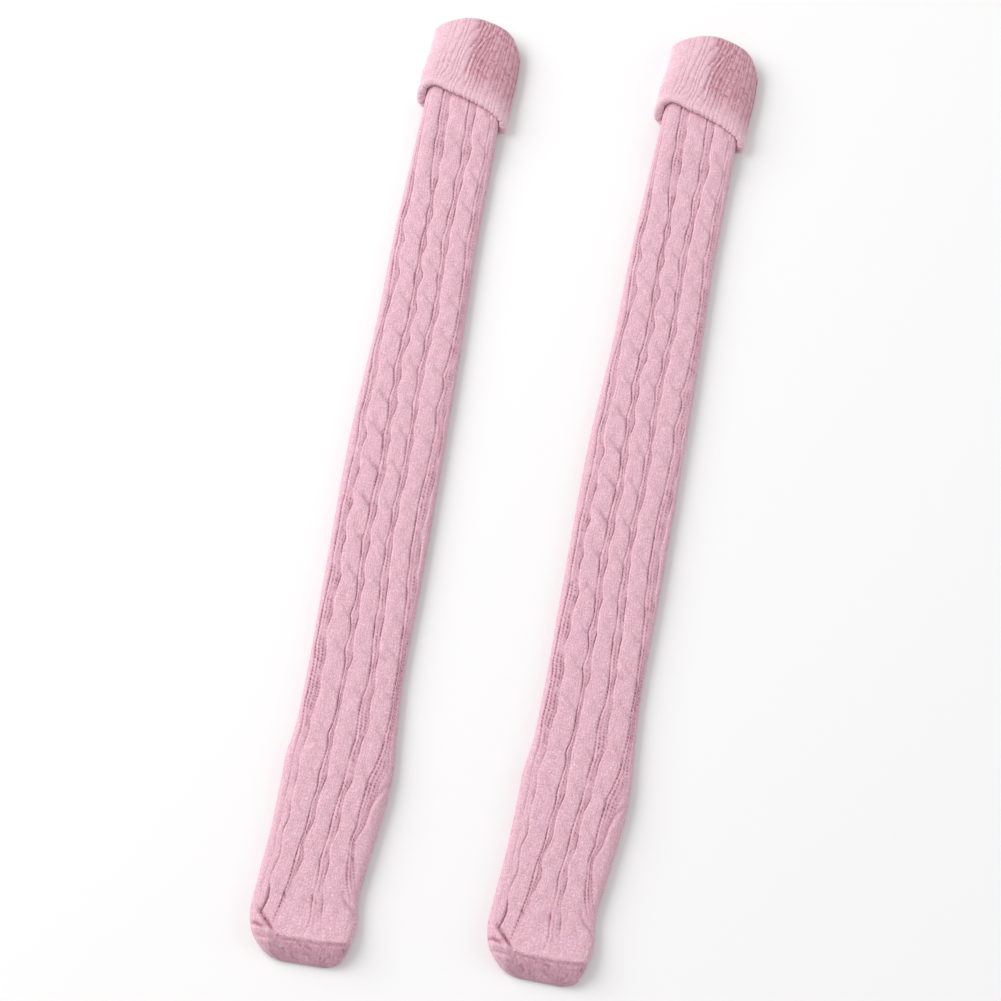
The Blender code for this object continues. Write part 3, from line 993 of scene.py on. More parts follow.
@dataclass(frozen=True)
class LegAndFoot:
    """The cable-knit tube: leg, heel, foot and toe, closed by a seam across the toe.

    Lengths are in millimetres. Reliefs are counted from the level of the grooves' bottoms, a luck is
    how far one crossing differs from the next, and a pair of numbers is where something starts and
    where it is complete.
    """

    sections: dict[str, Track] = field(default_factory=lambda: tracks_through(SECTIONS))
    ladders: dict[str, Track] = field(default_factory=lambda: tracks_through(LADDERS))
    crossings: dict[str, Track] = field(default_factory=lambda: tracks_through(CROSSINGS))
    openness: dict[str, Track] = field(default_factory=lambda: tracks_through(OPENNESS))
    strengths: dict[str, Track] = field(default_factory=lambda: tracks_through(STRENGTHS))
    depths: dict[str, Track] = field(default_factory=lambda: tracks_through(GROOVE_DEPTHS))

    # The flattened tube, which rests on the cuff's lower layers where it goes into the cuff.
    cuff_lift: float = 3.0
    lifted: tuple[float, float] = (662.0, 694.0)
    edge_height: float = 0.42
    edge_roundness: float = 4.0
    underside_roundness: float = 9.0

    # The two strands of a cable: what its stitches follow.
    strand_rise: float = 1.9
    strand_lift: float = 0.5
    strand_lift_luck: float = 0.15
    strand_swing: float = 0.4
    strand_reach: float = 0.84
    crossing_span: float = 0.17
    over_at: float = 0.02
    under_at: float = -0.01
    crossing_luck: float = 0.04

    # A crossing: the band on top, the lip on its upper edge, and the dip of the strand under it.
    crossing_step: float = 30.0
    cable_round: float = 0.45
    over_from: float = 3.5
    over_lean: float = 7.6
    over_luck: float = 1.2
    over_rise: float = 0.42
    over_bulge: float = 0.4
    over_edge: float = 1.3
    over_ends: tuple[float, float] = (8.0, 15.0)
    lip_rise: float = 0.2
    lip_at: float = 1.6
    lip_width: float = 1.3
    under_dip: float = 0.46
    under_luck: float = 0.45
    under_span: tuple[float, float] = (-13.0, -1.2)
    right_side: tuple[float, float] = (-0.5, 0.1)

    # The ribs and rungs of the ladders, the plain roll beside them, and the bands at the edges.
    rib_rise: float = 1.2
    rib_round: float = 0.5
    hole_width: float = 0.6
    one_chain: float = 5.2
    chain_slant: float = 1.4
    weak_rungs: float = 0.4
    weak_to_strong: tuple[float, float] = (30.0, 70.0)
    plain_rise: float = 1.3
    roll_rise: float = 2.1
    roll_round: float = 0.8
    band_rib: float = 0.12
    band_spacing: float = 2.6
    lump: float = 0.3
    pit: float = 0.1

    # The grooves beside each ladder.
    groove_width: float = 0.85
    open_width: float = 0.35
    open_filling: float = 0.4
    grooves_end: tuple[float, float] = (19.0, 25.0)
    usual_depth: float = 0.85
    left_swell: float = 0.3
    right_swell: float = 0.5
    swell_after: float = 0.17
    slow_drift: float = 0.17
    quick_drift: float = 0.14
    breaks: float = 0.26
    purl_from_groove: tuple[float, float] = (0.35, 0.8)

    # Painted shade, which the knit takes in open ladders, rungs, low places, creases, its edges, the
    # toe's cap and the slit.
    open_shade: float = 0.75
    rung_shade: float = 1.0
    open_rung_shade: float = 0.2
    edge_shade: float = 0.35
    edge_span: tuple[float, float] = (-0.5, 3.0)
    kept_at_edge: float = 0.4
    crease_shade: float = 0.45
    toe_shade: float = 0.55
    slit_shade: float = 0.8

    # The painted shade on the toe's cap, which slopes away from the light. The cap is bowed about its
    # middle and ends short of the left corner.
    toe_seam: float = 18.0
    cap_beyond: float = 3.4
    cap_bow: float = 0.004
    cap_middle: float = -2.0
    cap_left: tuple[float, float] = (-31.0, -25.0)

    # The stitches. Each cable and each ladder counts its wales from a number of its own.
    wale: float = 2.4
    course: float = 30.0 / 11
    ladder_wales: float = 60.0
    cable_wales: float = 100.0
    wales_a_cable: float = 10.0
    wales_a_strand: float = 4.0
    half_strand: float = 1.5

    # The rows and columns of points.
    band_columns: int = 8
    ladder_columns: int = 8
    cable_columns: int = 22
    fewest_columns: int = 3
    underside_share: float = 0.25
    crowding: float = 0.09
    toe_end: float = 36.0
    toe_rows: int = 46
    hidden_from: float = 712.0
    shown_rows: int = 588
    length: float = 752.0
    hidden_rows: int = 8
    top_rows: int = 30

    # The underside, and the slit between the two layers.
    underside_relief: float = 0.35
    side_wall: float = 4.2
    floor_wall: float = 3.0
    slit: float = 2.4
    slit_rows: tuple[float, ...] = (752, 700, 640, 560, 470, 380, 290, 200, 130, 60, 14)

    def rows(self) -> Floats:
        """The y of each ring: close together where the knit shows, and wide apart in the cuff."""
        toe = np.linspace(0.0, self.toe_end, self.toe_rows)[:-1]
        shown = np.linspace(self.toe_end, self.hidden_from, self.shown_rows)
        hidden = np.linspace(self.hidden_from, self.length, self.hidden_rows)[1:]
        return np.concatenate([toe, shown, hidden])

    def section(self, y: Floats) -> tuple[Floats, Floats, Floats, Floats, Floats]:
        """The tube's left and right edge, its underside, its edges' height and its groove level."""
        left, right, thick = (self.sections[name].at(y) for name in ("left", "right", "thick"))
        lift = self.cuff_lift * ease(*self.lifted, y)
        return left, right, lift, lift + self.edge_height * thick, lift + thick

    def crossed(self, y: Floats) -> Floats:
        """How many crossings the cables have made from the cuff down to y."""
        return self.crossings["number"].at(y)

    def luck(self, y: Floats, cable: int) -> Floats:
        """A number from -1 to 1 for the crossing nearest to y, of its own for each cable."""
        return np.sin(13.0 * np.round(self.crossed(y)) + 4.1 * cable + 1.0)

    def lines(self, y: Floats) -> Floats:
        """The x of the eight grooves at each y, (rings, 8).

        Below the first row of their table they keep their share of the tube's width.
        """
        held = np.maximum(y, LADDERS[0].y)
        left, right = self.section(y)[:2]
        held_left, held_right = self.section(held)[:2]
        stretch = (right - left) / (held_right - held_left)
        made = np.stack([track.at(held) for track in self.ladders.values()], axis=1)
        return left[:, None] + (made - held_left[:, None]) * stretch[:, None]

    def strand(self, y: Floats, cable: int, number: int) -> tuple[Floats, Floats]:
        """A strand's middle line, as a share of half the cable's width, and how far it is lifted.

        At each crossing one strand goes over from left to right and the other under, a little
        before it, from right to left. Between crossings they run side by side.

        Args:
            y: where along the sock.
            cable: the cable, which makes its crossings a little differently from the others.
            number: 0 or 1, the strand.
        """
        crossed = self.crossed(y)
        nearest = np.round(crossed)
        luck = self.luck(y, cable)
        over = (nearest + number) % 2 == 0
        centre = np.where(over, self.over_at, self.under_at) + self.crossing_luck * luck
        past = crossed - nearest - centre
        passed = nearest + ease(-self.crossing_span, self.crossing_span, past)
        middle = -self.strand_swing * np.cos(math.pi * (passed + number))
        lift = (1 + self.strand_lift_luck * luck) * np.cos(math.pi * (crossed + number))
        return middle, lift

    def strand_heights(self, across: Floats, y: Floats, cable: int) -> Floats:
        """Each strand's height over the groove level, (2, ...), at shares of the half width."""
        heights = []
        for number in range(2):
            middle, lift = self.strand(y, cable, number)
            arch = np.clip(1 - ((across - middle) / self.strand_reach) ** 2, 0, None)
            heights.append((self.strand_rise + self.strand_lift * lift) * np.sqrt(arch))
        return np.stack(heights)

    def cable_height(self, across: Floats, y: Floats, cable: int) -> Floats:
        """The height of a cable over the groove level.

        At each crossing the strand on top makes a broad slanting band. Its upper edge is a crisp
        lip that runs down to the right, and the other strand dips under it there.

        Args:
            across: the place across the cable, from -1 at its left groove to 1 at its right one.
            y: where along the sock.
            cable: the cable, which makes its crossings a little differently from the others.
        """
        crossed = self.crossed(y)
        luck = self.luck(y, cable)
        bulge = 1 + self.over_bulge * np.sin(7.3 * np.round(crossed) + 2.2 * cable)
        edge = self.over_from - self.over_lean * across + self.over_luck * luck
        place = crossed + edge / self.crossing_step
        below = (place - np.round(place)) * self.crossing_step
        on_top = ease(-self.over_edge, self.over_edge, below)
        right_side = ease(*self.right_side, across)
        over = self.over_rise * bulge * (1 - ease(*self.over_ends, below))
        lip = self.lip_rise * bell(below - self.lip_at, self.lip_width) * right_side
        dip = self.under_dip * (1 + self.under_luck * luck)
        under = dip * right_side * ease(*self.under_span, below)
        dome = self.strand_rise * np.sqrt(1 - self.cable_round * across**2)
        return dome + on_top * over - (1 - on_top) * under + lip - 0.5 * self.over_rise

    def groove_depths(self, y: Floats) -> Floats:
        """How deep each groove is, as a share, (rings, 8): deepest just below each crossing."""
        depths = np.stack([track.at(y) for track in self.depths.values()], axis=1)
        crossed, y = self.crossed(y)[:, None], y[:, None]
        number = np.arange(GROOVES)[None, :]
        swell = np.where(number % 2 == 1, self.right_swell, self.left_swell)
        swell = swell * np.cos(2 * math.pi * (crossed - self.swell_after))
        drift = self.slow_drift * np.sin(y / 17 + 2.1 * number)
        drift = drift + self.quick_drift * np.sin(y / 7.3 + number)
        drift = drift + self.breaks * np.sin(y / 3.3 + 1.7 * number) * np.sin(y / 11 + number)
        return np.clip(depths * (self.usual_depth + swell + drift), 0.0, 1.0)

    def spread(self, shares: Floats) -> Floats:
        """Even shares of a zone's width brought closer together near its grooves."""
        return shares - self.crowding * np.sin(2 * math.pi * shares)

    def layout(self, upper: bool) -> Layout:
        """The columns of the upper face, or the fewer ones of the underside."""
        scale = 1.0 if upper else self.underside_share
        band, ladder, cable = (
            max(self.fewest_columns, round(count * scale))
            for count in (self.band_columns, self.ladder_columns, self.cable_columns)
        )
        zones = [(Zone.BAND, -1, band)]
        for groove in range(0, GROOVES, 2):
            zones.append((Zone.LADDER, groove, ladder))
            if groove + 2 < GROOVES:
                zones.append((Zone.CABLE, groove + 1, cable))
        zones.append((Zone.BAND, GROOVES - 1, band))
        places = [
            number + self.spread(np.arange(count) / count)
            for number, (_, _, count) in enumerate(zones)
        ]
        return Layout(zones, np.concatenate([*places, [float(len(zones))]]))

    def zone_relief(
        self, x: Floats, y: Floats, layout: Layout, lines: Floats
    ) -> tuple[Floats, Floats]:
        """The knit's form before its grooves are pressed in.

        Args:
            x: (rings, columns).
            y: (rings,).
            layout: the face's columns.
            lines: (rings, 8), the grooves.

        Returns:
            The rise, and how far each point lies in a row of rungs, both in the shape of x.
        """
        cables = self.strengths["cables"].at(y)
        left_cable = self.strengths["left_cable"].at(y)
        rungs_show = self.weak_rungs + (1 - self.weak_rungs) * ease(*self.weak_to_strong, y)
        rise = np.full_like(x, self.plain_rise)
        rungs = np.zeros_like(x)
        for column, place in enumerate(layout.places):
            number = min(int(place), GROOVES)
            zone, groove, _ = layout.zones[number]
            across = 2 * (place - number) - 1
            if zone is Zone.CABLE:
                height = self.cable_height(np.full(len(y), across), y, number)
                if groove == LEFT_CABLE:
                    roll = self.roll_rise * np.sqrt(1 - self.roll_round * across**2)
                    height = roll + left_cable * (height - roll)
                rise[:, column] += cables * (height - self.plain_rise)
            elif zone is Zone.LADDER:
                chain = self.rib_rise * math.sqrt(1 - self.rib_round * across**2)
                rise[:, column] += cables * (chain - self.plain_rise)
                width = lines[:, groove + 1] - lines[:, groove]
                aside = 0.5 * np.clip(width - self.one_chain, 0.0, None)
                rung = bell(abs(across) * width / 2 - aside, self.hole_width)
                rungs[:, column] = rung * rungs_show
            else:
                turn = 2 * math.pi * x[:, column] / self.band_spacing
                rise[:, column] += self.band_rib * np.cos(turn)
        return rise, rungs

    def relief(
        self, x: Floats, y: Floats, layout: Layout, lines: Floats
    ) -> tuple[Floats, Floats, Floats]:
        """The knit's rise over the groove level, its purl columns and its painted shade.

        Args:
            x: (rings, columns).
            y: (rings,).
            layout: the face's columns.
            lines: (rings, 8), the grooves.

        Returns:
            The rise in millimetres, 1 in a purl column and 0 outside it, and the painted shade
            that the knit takes, from 0 on top to 1 in the depth of a groove.
        """
        left, right = (edge[:, None] for edge in self.section(y)[:2])
        gaps = np.abs(x[:, :, None] - lines[:, None, :])
        nearest, gap = gaps.argmin(axis=2), gaps.min(axis=2)
        depth = np.take_along_axis(self.groove_depths(y), nearest, axis=1)
        openness = np.stack([track.at(y) for track in self.openness.values()], axis=1)
        opened = np.take_along_axis(openness, nearest // 2, axis=1)
        rise, rungs = self.zone_relief(x, y, layout, lines)
        y = y[:, None]
        pits = np.sin(1.3 * x + 0.9 * y) * np.sin(1.1 * y - 0.7 * x)
        rise += self.lump * uneven(x, y) + self.pit * pits
        grooved = ease(*self.grooves_end, y)
        beside = gap / (self.groove_width + self.open_width * opened)
        pressed = depth * (1 - self.open_filling * opened) * (1 - ease(0.0, 1.0, beside))
        rise *= 1 - grooved * pressed
        shown = grooved * ease(0.0, 0.3, depth)
        purl = shown * (1 - ease(*self.purl_from_groove, beside))
        # Painted shade: darker in open ladders, on rungs, in low places and along the edges.
        rung_shade = self.rung_shade + self.open_rung_shade * opened
        shade = np.maximum(self.open_shade * opened * purl, rung_shade * shown * rungs)
        shade = np.maximum(shade, ease(0.0, 1.0, 1.0 - rise))
        inner = ease(*self.edge_span, np.minimum(x - left, right - x))
        shade = shade * (self.kept_at_edge + (1 - self.kept_at_edge) * inner)
        shade = np.maximum(shade, self.edge_shade * (1 - inner))
        return rise * inner, np.maximum(purl, shown * rungs), shade

    def face(self, y: Floats, upper: bool) -> tuple[Floats, Floats, Floats, Floats]:
        """One face of the tube, from its left edge to its right one.

        Args:
            y: the rings' y.
            upper: True for the upper face.

        Returns:
            x, z, painted shade and purl, each (rings, columns).
        """
        left, right, lift, level, top = self.section(y)
        lines = self.lines(y)
        if upper:
            profile = half_oval(left, right, level, top - level, self.edge_roundness)
        else:
            profile = half_oval(left, right, level, lift - level, self.underside_roundness)
        layout = self.layout(upper)
        lengths = profile_lengths(*profile)
        wanted = np.empty((len(y), len(layout.places)))
        for ring in range(len(y)):
            keys = np.interp(lines[ring], profile[0][ring], lengths[ring])
            keys = np.concatenate([[0.0], keys, [1.0]])
            wanted[ring] = np.interp(layout.places, np.arange(len(keys)), keys)
        x, z = along_profile(*profile, wanted)
        rise, purl, painted_shade = self.relief(x, y, layout, lines)
        y = y[:, None]
        # Painted shade on the toe's cap, which slopes away from the light.
        bow = self.cap_bow * (x - self.cap_middle) ** 2
        cap = 1 - ease(-1.0, 1.0, y - self.toe_seam + self.cap_beyond - bow)
        painted_shade = np.maximum(painted_shade, self.toe_shade * cap * ease(*self.cap_left, x))
        if upper:
            drop = sum(crease.drop(x, y) for crease in FACE_CREASES)
            z = z + rise - drop
            # Painted shade in the creases.
            painted_shade = np.maximum(painted_shade, self.crease_shade * np.clip(drop, 0.0, 2.0))
        else:
            sunk = np.clip(self.strand_rise + self.strand_lift - rise, 0, None)
            z = z + self.underside_relief * sunk
        return x, z, painted_shade, purl

    def face_stitches(self, x: Floats, y: Floats, upper: bool) -> Floats:
        """The stitch coordinates of the corners of one face's quads.

        Args:
            x: (rings, columns + 1), the points' x.
            y: the rings' y.
            upper: True for the upper face.

        Returns:
            (strips, columns, 4, 2): wale and course at the corners near-left, near-right,
            far-right and far-left.
        """
        layout = self.layout(upper)
        strips, columns = len(y) - 1, len(layout.places) - 1
        made = np.zeros((strips, columns, 4, 2))
        lines = self.lines(y)
        middle_y = (y[1:] + y[:-1]) / 2
        column = 0
        for number, (zone, groove, count) in enumerate(layout.zones):
            paths = np.stack([self.strand(y, number, strand)[0] for strand in range(2)])
            slopes = np.gradient(paths, y, axis=1)
            for step in range(count):
                shares = self.spread(np.array([step, step + 1]) / count)
                if zone is Zone.CABLE:
                    across = np.full(strips, shares[0] + shares[1] - 1)
                    over = self.strand_heights(across, middle_y, number).argmax(axis=0)
                for corner, (far, side) in enumerate(((0, 0), (0, 1), (1, 1), (1, 0))):
                    rows = slice(far, far + strips)
                    at_x, at_y = x[rows, column + side], y[rows]
                    wale, course = at_x / self.wale, at_y / self.course
                    if zone is Zone.LADDER:
                        wale = self.ladder_wales + number + np.full(strips, shares[side])
                        course = course + self.chain_slant * shares[side]
                    elif zone is Zone.CABLE:
                        half = (lines[rows, groove + 1] - lines[rows, groove]) / 2
                        middle = np.choose(over, paths[:, rows])
                        slope = np.choose(over, slopes[:, rows]) * half
                        off = 2 * shares[side] - 1 - middle
                        wale = self.cable_wales + self.wales_a_cable * number
                        wale = wale + self.wales_a_strand * over
                        wale = wale + self.half_strand * (1 + off / self.strand_reach)
                        course = (at_y + slope * off * half) / self.course
                    made[:, column, corner, 0] = wale
                    made[:, column, corner, 1] = course
                column += 1
        return made

    def shell(self) -> Shell:
        """The closed wall: the outer face from toe to rim, then the slit inside, back to the toe."""
        y = self.rows()
        upper_face = self.face(y, upper=True)
        lower_face = self.face(y, upper=False)
        x, z, painted_shade, purl = (
            closed_rings(*faces) for faces in zip(upper_face, lower_face, strict=True)
        )
        outer = np.stack([x, np.broadcast_to(y[:, None], x.shape), z], axis=-1)
        inner_y = np.array(self.slit_rows)
        inner = self.inside(inner_y, upper_face[0].shape[1] - 1, lower_face[0].shape[1] - 1)
        upper_stitches = self.face_stitches(upper_face[0], y, upper=True)
        # The underside runs back from right to left, so its corners change sides.
        lower_stitches = self.face_stitches(lower_face[0], y, upper=False)
        lower_stitches = lower_stitches[:, ::-1][:, :, [1, 0, 3, 2]]
        stitches = np.concatenate([upper_stitches, lower_stitches], axis=1)
        rest = np.zeros((len(inner_y), *stitches.shape[1:]))
        # The slit between the layers takes painted shade.
        marks = {
            "painted_shade": np.concatenate([painted_shade, np.full(inner.shape[:2], self.slit_shade)]),
            "purl": np.concatenate([purl, np.ones(inner.shape[:2])]),
        }
        return Shell(
            np.concatenate([outer, inner]), np.concatenate([stitches, rest]), marks, Ends.CAPPED
        )

    def top_at(self, x: Floats, y: Floats) -> Floats:
        """The height of the upper face at places over it, and 0 beside it."""
        rows = np.linspace(y.min(), y.max(), self.top_rows)
        face_x, face_z = self.face(rows, upper=True)[:2]
        nearest = np.abs(rows[:, None] - y.reshape(-1)).argmin(axis=0)
        found = [
            np.interp(at, face_x[ring], face_z[ring], left=0.0, right=0.0)
            for at, ring in zip(x.reshape(-1), nearest, strict=True)
        ]
        return np.array(found).reshape(x.shape)

    def inside(self, y: Floats, above: int, below: int) -> Floats:
        """The rings of the slit between the two layers, (rings, above + below, 3)."""
        left, right, lift, _, _ = self.section(y)
        left, right = left + self.side_wall, right - self.side_wall
        level = lift + self.floor_wall + self.slit / 2
        height = np.full(len(y), self.slit / 2)
        upper = (above, height, self.edge_roundness)
        lower = (below, -height, self.edge_roundness)
        x, z = oval_rings(left, right, level, (upper, lower))
        return np.stack([x, np.broadcast_to(y[:, None], x.shape), z], axis=-1)


# ---------------------------------------------------------------------------------------------
# The cuff
# ---------------------------------------------------------------------------------------------


class Brim(NamedTuple):
    """The y of the cuff's hem and of its fold, at a share of the way round from the left edge."""

    share: float
    hem: float
    fold: float


class CuffSection(NamedTuple):
    """The cuff's outer section at a share of the way from its hem to its fold."""

    share: float
    left: float
    right: float
    top: float


BRIM = (
    Brim(0.00, 723, 785),
    Brim(0.08, 732, 792),
    Brim(0.19, 727, 798),
    Brim(0.30, 721, 797),
    Brim(0.42, 712, 788),
    Brim(0.50, 704, 770),
    Brim(0.60, 704, 786),
    Brim(0.75, 709, 796),
    Brim(0.90, 716, 793),
    Brim(1.00, 723, 785),
)

CUFF_SECTIONS = (
    CuffSection(0.0, -41.2, 36.0, 17.2),
    CuffSection(0.3, -41.0, 36.8, 18.4),
    CuffSection(0.65, -38.2, 38.2, 18.6),
    CuffSection(1.0, -37.2, 38.2, 16.8),
)

CUFF_CREASES = (
    Crease(((14, 797), (10.4, 788), (4, 777), (-1.1, 766), (-2.9, 752), (-3.8, 738)), 0.8, 0.9),
    Crease(((17, 795), (12.8, 786), (6.4, 776), (1.2, 766), (-0.6, 752), (-1.4, 740)), -0.6, 1.1),
    Crease(((6, 798), (2.4, 786), (-2.6, 772), (-5.4, 758)), 0.4, 0.8),
)


@dataclass(frozen=True)
class TurnedCuff:
    """The ribbed cuff: an inner layer up from the leg, the fold, and an outer layer down to the hem.

    Lengths are in millimetres. A share is one of the way round from the left edge, a way goes from
    0 at the hem to 1 at the fold, and a pair of numbers is where something starts and where it is
    complete.
    """

    leg: LegAndFoot
    brim: dict[str, Track] = field(default_factory=lambda: tracks_through(BRIM))
    sections: dict[str, Track] = field(default_factory=lambda: tracks_through(CUFF_SECTIONS))

    # The outer layer, whose upper face slopes down to the right.
    wall: float = 2.4
    upper_roundness: float = 3.0
    lower_roundness: float = 8.0
    edge_height: float = 0.42
    slope_at_hem: float = 1.8
    slope_above: float = 4.0
    slope_grows: tuple[float, float] = (0.1, 0.45)
    slope_heights: tuple[float, float] = (7.0, 12.0)
    slope_from: float = -4.0
    slope_length: float = 40.0
    upper_heights: tuple[float, float] = (8.0, 12.0)
    lumps: float = 0.3

    # The ribs, which flare at the left of the hem and fan out from the fold.
    ribs: int = 48
    rib_rise: float = 0.26
    rib_sharpness: float = 2.2
    rib_lean: float = 1.1
    flare: float = 1.2
    flare_at: float = 0.15
    flare_left: float = 0.06
    flare_right: float = 0.1
    flare_ends: tuple[float, float] = (0.06, 0.27)
    fan: float = 2.0
    fan_at: float = 0.28
    fan_width: float = 0.09
    fan_grows: tuple[float, float] = (0.4, 1.0)
    above_bead: tuple[float, float] = (0.05, 0.14)
    faint_ribs: float = 0.15
    clear_from: tuple[float, float] = (-27.0, -13.0)
    clearer_at_hem: float = 9.0
    hem_part: tuple[float, float] = (0.3, 0.65)
    fainter_from: tuple[float, float] = (6.0, 16.0)
    # Painted shade in the gaps between the ribs.
    rib_shade: float = 0.6
    rib_purl: float = 0.8

    # The right half of its face takes painted shade, as it slopes away from the light.
    side_shade: float = 0.76
    side_shaded: tuple[float, float] = (-11.0, 6.0)
    side_shade_grows: tuple[float, float] = (0.0, 0.4)
    purl_shows: tuple[float, float] = (-6.0, 12.0)

    # The hem: a bead round its edge, and the lip that turns in under it.
    hem_rise: float = 0.9
    bead_at: float = 0.035
    bead_width: float = 0.04
    bead_ribbed: tuple[float, float] = (-24.0, -10.0)
    lip: float = 1.6
    lip_angles: tuple[float, ...] = (140, 110, 75, 40)
    # Painted shade on the lip, darker at the left, where it turns in under the hem.
    lip_shades: tuple[float, ...] = (0.2, 0.12, 0.04, 0.0)
    left_width: float = 0.09
    darker_at_left: float = 0.9

    # The fold, and the layers inside it.
    fold_crest: float = 2.8
    fold_angles: tuple[float, ...] = (22, 45, 67, 90, 120, 150)
    layer_gap: float = 6.0
    seam_gap: float = 0.3
    lining_ways: tuple[float, ...] = (0.94, 0.8, 0.6, 0.4, 0.2, 0.1, 0.05, 0.015)
    # Painted shade on the layers hidden inside.
    hidden_shade: float = 0.1

    # How the lining lies on the leg, rolls round it at both sides, and lifts at the left corner.
    rest_gap: float = 0.25
    rests: tuple[float, float] = (0.03, 0.14)
    hem_roll: float = 5.0
    left_roll_width: float = 0.06
    right_roll_width: float = 0.05
    corner_lift: float = 8.0
    corner_shares: tuple[float, float] = (0.955, 0.975)
    corner_ends: tuple[float, float] = (0.15, 0.5)

    course: float = 2.3

    # The columns of points round the upper and the lower half, and the rows of the outer layer.
    above: int = 240
    below: int = 96
    rings: int = 62

    def shares(self) -> Floats:
        """Each column's share of the way round."""
        upper = np.arange(self.above) / self.above / 2
        lower = 0.5 + np.arange(self.below) / self.below / 2
        return np.concatenate([upper, lower])

    def oval(self, left: Floats, right: Floats, bottom: Floats, top: Floats) -> tuple[Floats, Floats]:
        """x and z of flattened ovals, each (rings, columns)."""
        level = bottom + self.edge_height * (top - bottom)
        upper = (self.above, top - level, self.upper_roundness)
        lower = (self.below, bottom - level, self.lower_roundness)
        return oval_rings(left, right, level, (upper, lower))

    def between(self, way: Floats) -> Floats:
        """The y at each way from hem to fold, (rings, columns)."""
        share = self.shares()
        hem, fold = self.brim["hem"].at(share), self.brim["fold"].at(share)
        return hem + way[:, None] * (fold - hem)

    def outer_layer(self, way: Floats, inset: float = 0.0) -> Floats:
        """Rings of the outer layer, (rings, columns, 3).

        Args:
            way: how far each ring is from the hem to the fold.
            inset: how far in from the outside it lies.
        """
        left, right, top = (self.sections[name].at(way) for name in ("left", "right", "top"))
        x, z = self.oval(left + inset, right - inset, np.full(len(way), inset), top - inset)
        slope = self.slope_at_hem
        slope = slope + (self.slope_above - slope) * ease(*self.slope_grows, way)[:, None]
        down = np.clip((x - self.slope_from) / self.slope_length, 0.0, 1.0)
        z = z - ease(*self.slope_heights, z) * slope * down
        return np.stack([x, self.between(way), z], axis=-1)

    def rib_phase(self, way: Floats) -> Floats:
        """The number of ribs passed on the way round, (rings, columns)."""
        share = self.shares()[None, :]
        width = np.where(share < self.flare_at, self.flare_left, self.flare_right)
        moved = self.flare * bell((share - self.flare_at) / width, 1.0)
        moved = moved * (1 - ease(*self.flare_ends, way))[:, None]
        moved = moved - self.rib_lean * way[:, None] * np.sin(2 * math.pi * share) ** 2
        fan = self.fan * bell(share - self.fan_at, self.fan_width)
        moved = moved - fan * ease(*self.fan_grows, way)[:, None]
        irregular = 0.22 * np.sin(share * 61.0 + 1.0) + 0.16 * np.sin(share * 97.0)
        return share * self.ribs + moved + irregular

    def raised(self, points: Floats, rise: Floats) -> Floats:
        """Points moved outwards, square to their ring, by a rise in millimetres."""
        along = np.roll(points, -1, axis=1) - np.roll(points, 1, axis=1)
        out = np.stack([-along[..., 2], np.zeros_like(rise), along[..., 0]], axis=-1)
        out /= np.linalg.norm(out, axis=-1, keepdims=True)
        moved = points + out * rise[..., None]
        moved[..., 2] = np.maximum(moved[..., 2], 0.0)
        return moved

    def outside(self, way: Floats, phase: Floats) -> tuple[Floats, Floats, Floats, Floats]:
        """The outer layer with its ribs, its bead and its creases.

        Args:
            way: how far each ring is from the hem to the fold.
            phase: the ribs passed on the way round, (rings, columns).

        Returns:
            The points, painted shade, purl, and how far its rib and its lumps make each place stand
            out.
        """
        off_rib = np.abs(2 * (phase % 1.0) - 1)
        profile = 1 - 2 * off_rib**self.rib_sharpness
        outer = self.outer_layer(way)
        x, y = outer[..., 0], outer[..., 1]
        shift = self.clearer_at_hem * (1 - ease(*self.hem_part, way))[:, None]
        clear = ease(*self.clear_from, x + shift) * (1 - 0.5 * ease(*self.fainter_from, x))
        ribbed = ease(*self.above_bead, way)[:, None]
        ribbed = ribbed * (self.faint_ribs + (1 - self.faint_ribs) * clear)
        ribbed = ribbed * (0.8 + 0.35 * uneven(2.0 * x, 1.3 * y))
        lumps = self.lumps * uneven(x, 1.6 * y)
        bead = self.hem_rise * bell(way - self.bead_at, self.bead_width)[:, None]
        bead = bead * (0.8 + 0.3 * profile * ease(*self.bead_ribbed, x))
        outer = self.raised(outer, self.rib_rise * profile * ribbed + lumps + bead)
        upper = ease(*self.upper_heights, outer[..., 2])
        for crease in CUFF_CREASES:
            outer[..., 2] -= upper * crease.drop(x, y)
        # Painted shade on the right half of the face and in the gaps between the ribs.
        grown = ease(*self.side_shade_grows, way)[:, None]
        shaded = self.side_shade * ease(*self.side_shaded, x) * grown
        painted_shade = shaded + self.rib_shade * ease(0.5, 1.0, off_rib) * ribbed
        purl = self.rib_purl * ease(0.5, 0.9, off_rib) * ease(*self.purl_shows, x)
        return outer, painted_shade, purl, profile + lumps

    def shell(self) -> Shell:
        """The closed wall: hem, outer layer, fold, slit, inner layer and the outer layer's lining."""
        way = np.linspace(0.0, 1.0, self.rings)
        phase = self.rib_phase(way)
        outer, painted_shade, purl, standing = self.outside(way, phase)

        mouth = self.leg.inside(np.array([self.leg.length]), self.above, self.below)[0]
        fold_y = self.brim["fold"].at(self.shares())
        mouth_there = np.stack([mouth[:, 0], fold_y, mouth[:, 2]], axis=-1)
        crest = []
        for angle in np.radians(self.fold_angles):
            share = (1 - math.cos(angle)) / 2
            ring = outer[-1] + share * (mouth_there - outer[-1])
            ring[:, 1] = fold_y + self.fold_crest * math.sin(angle)
            crest.append(ring)
        seam = mouth.copy()
        seam[:, 1] = self.leg.length + self.seam_gap
        slit = [mouth_there, (mouth_there + seam) / 2, seam]
        inner = self.inner_layer(np.array([0.0, 0.5, 1.0]))
        lining = self.lining(np.array(self.lining_ways))
        middle = (outer[0] + lining[-1]) / 2
        lip = []
        for angle in np.radians(self.lip_angles):
            ring = middle + (outer[0] - middle) * math.cos(angle)
            ring[:, 1] -= (self.lip + 0.5 * standing[0]) * math.sin(angle)
            lip.append(ring)
        points = np.concatenate([outer, crest, slit, inner, lining, lip])

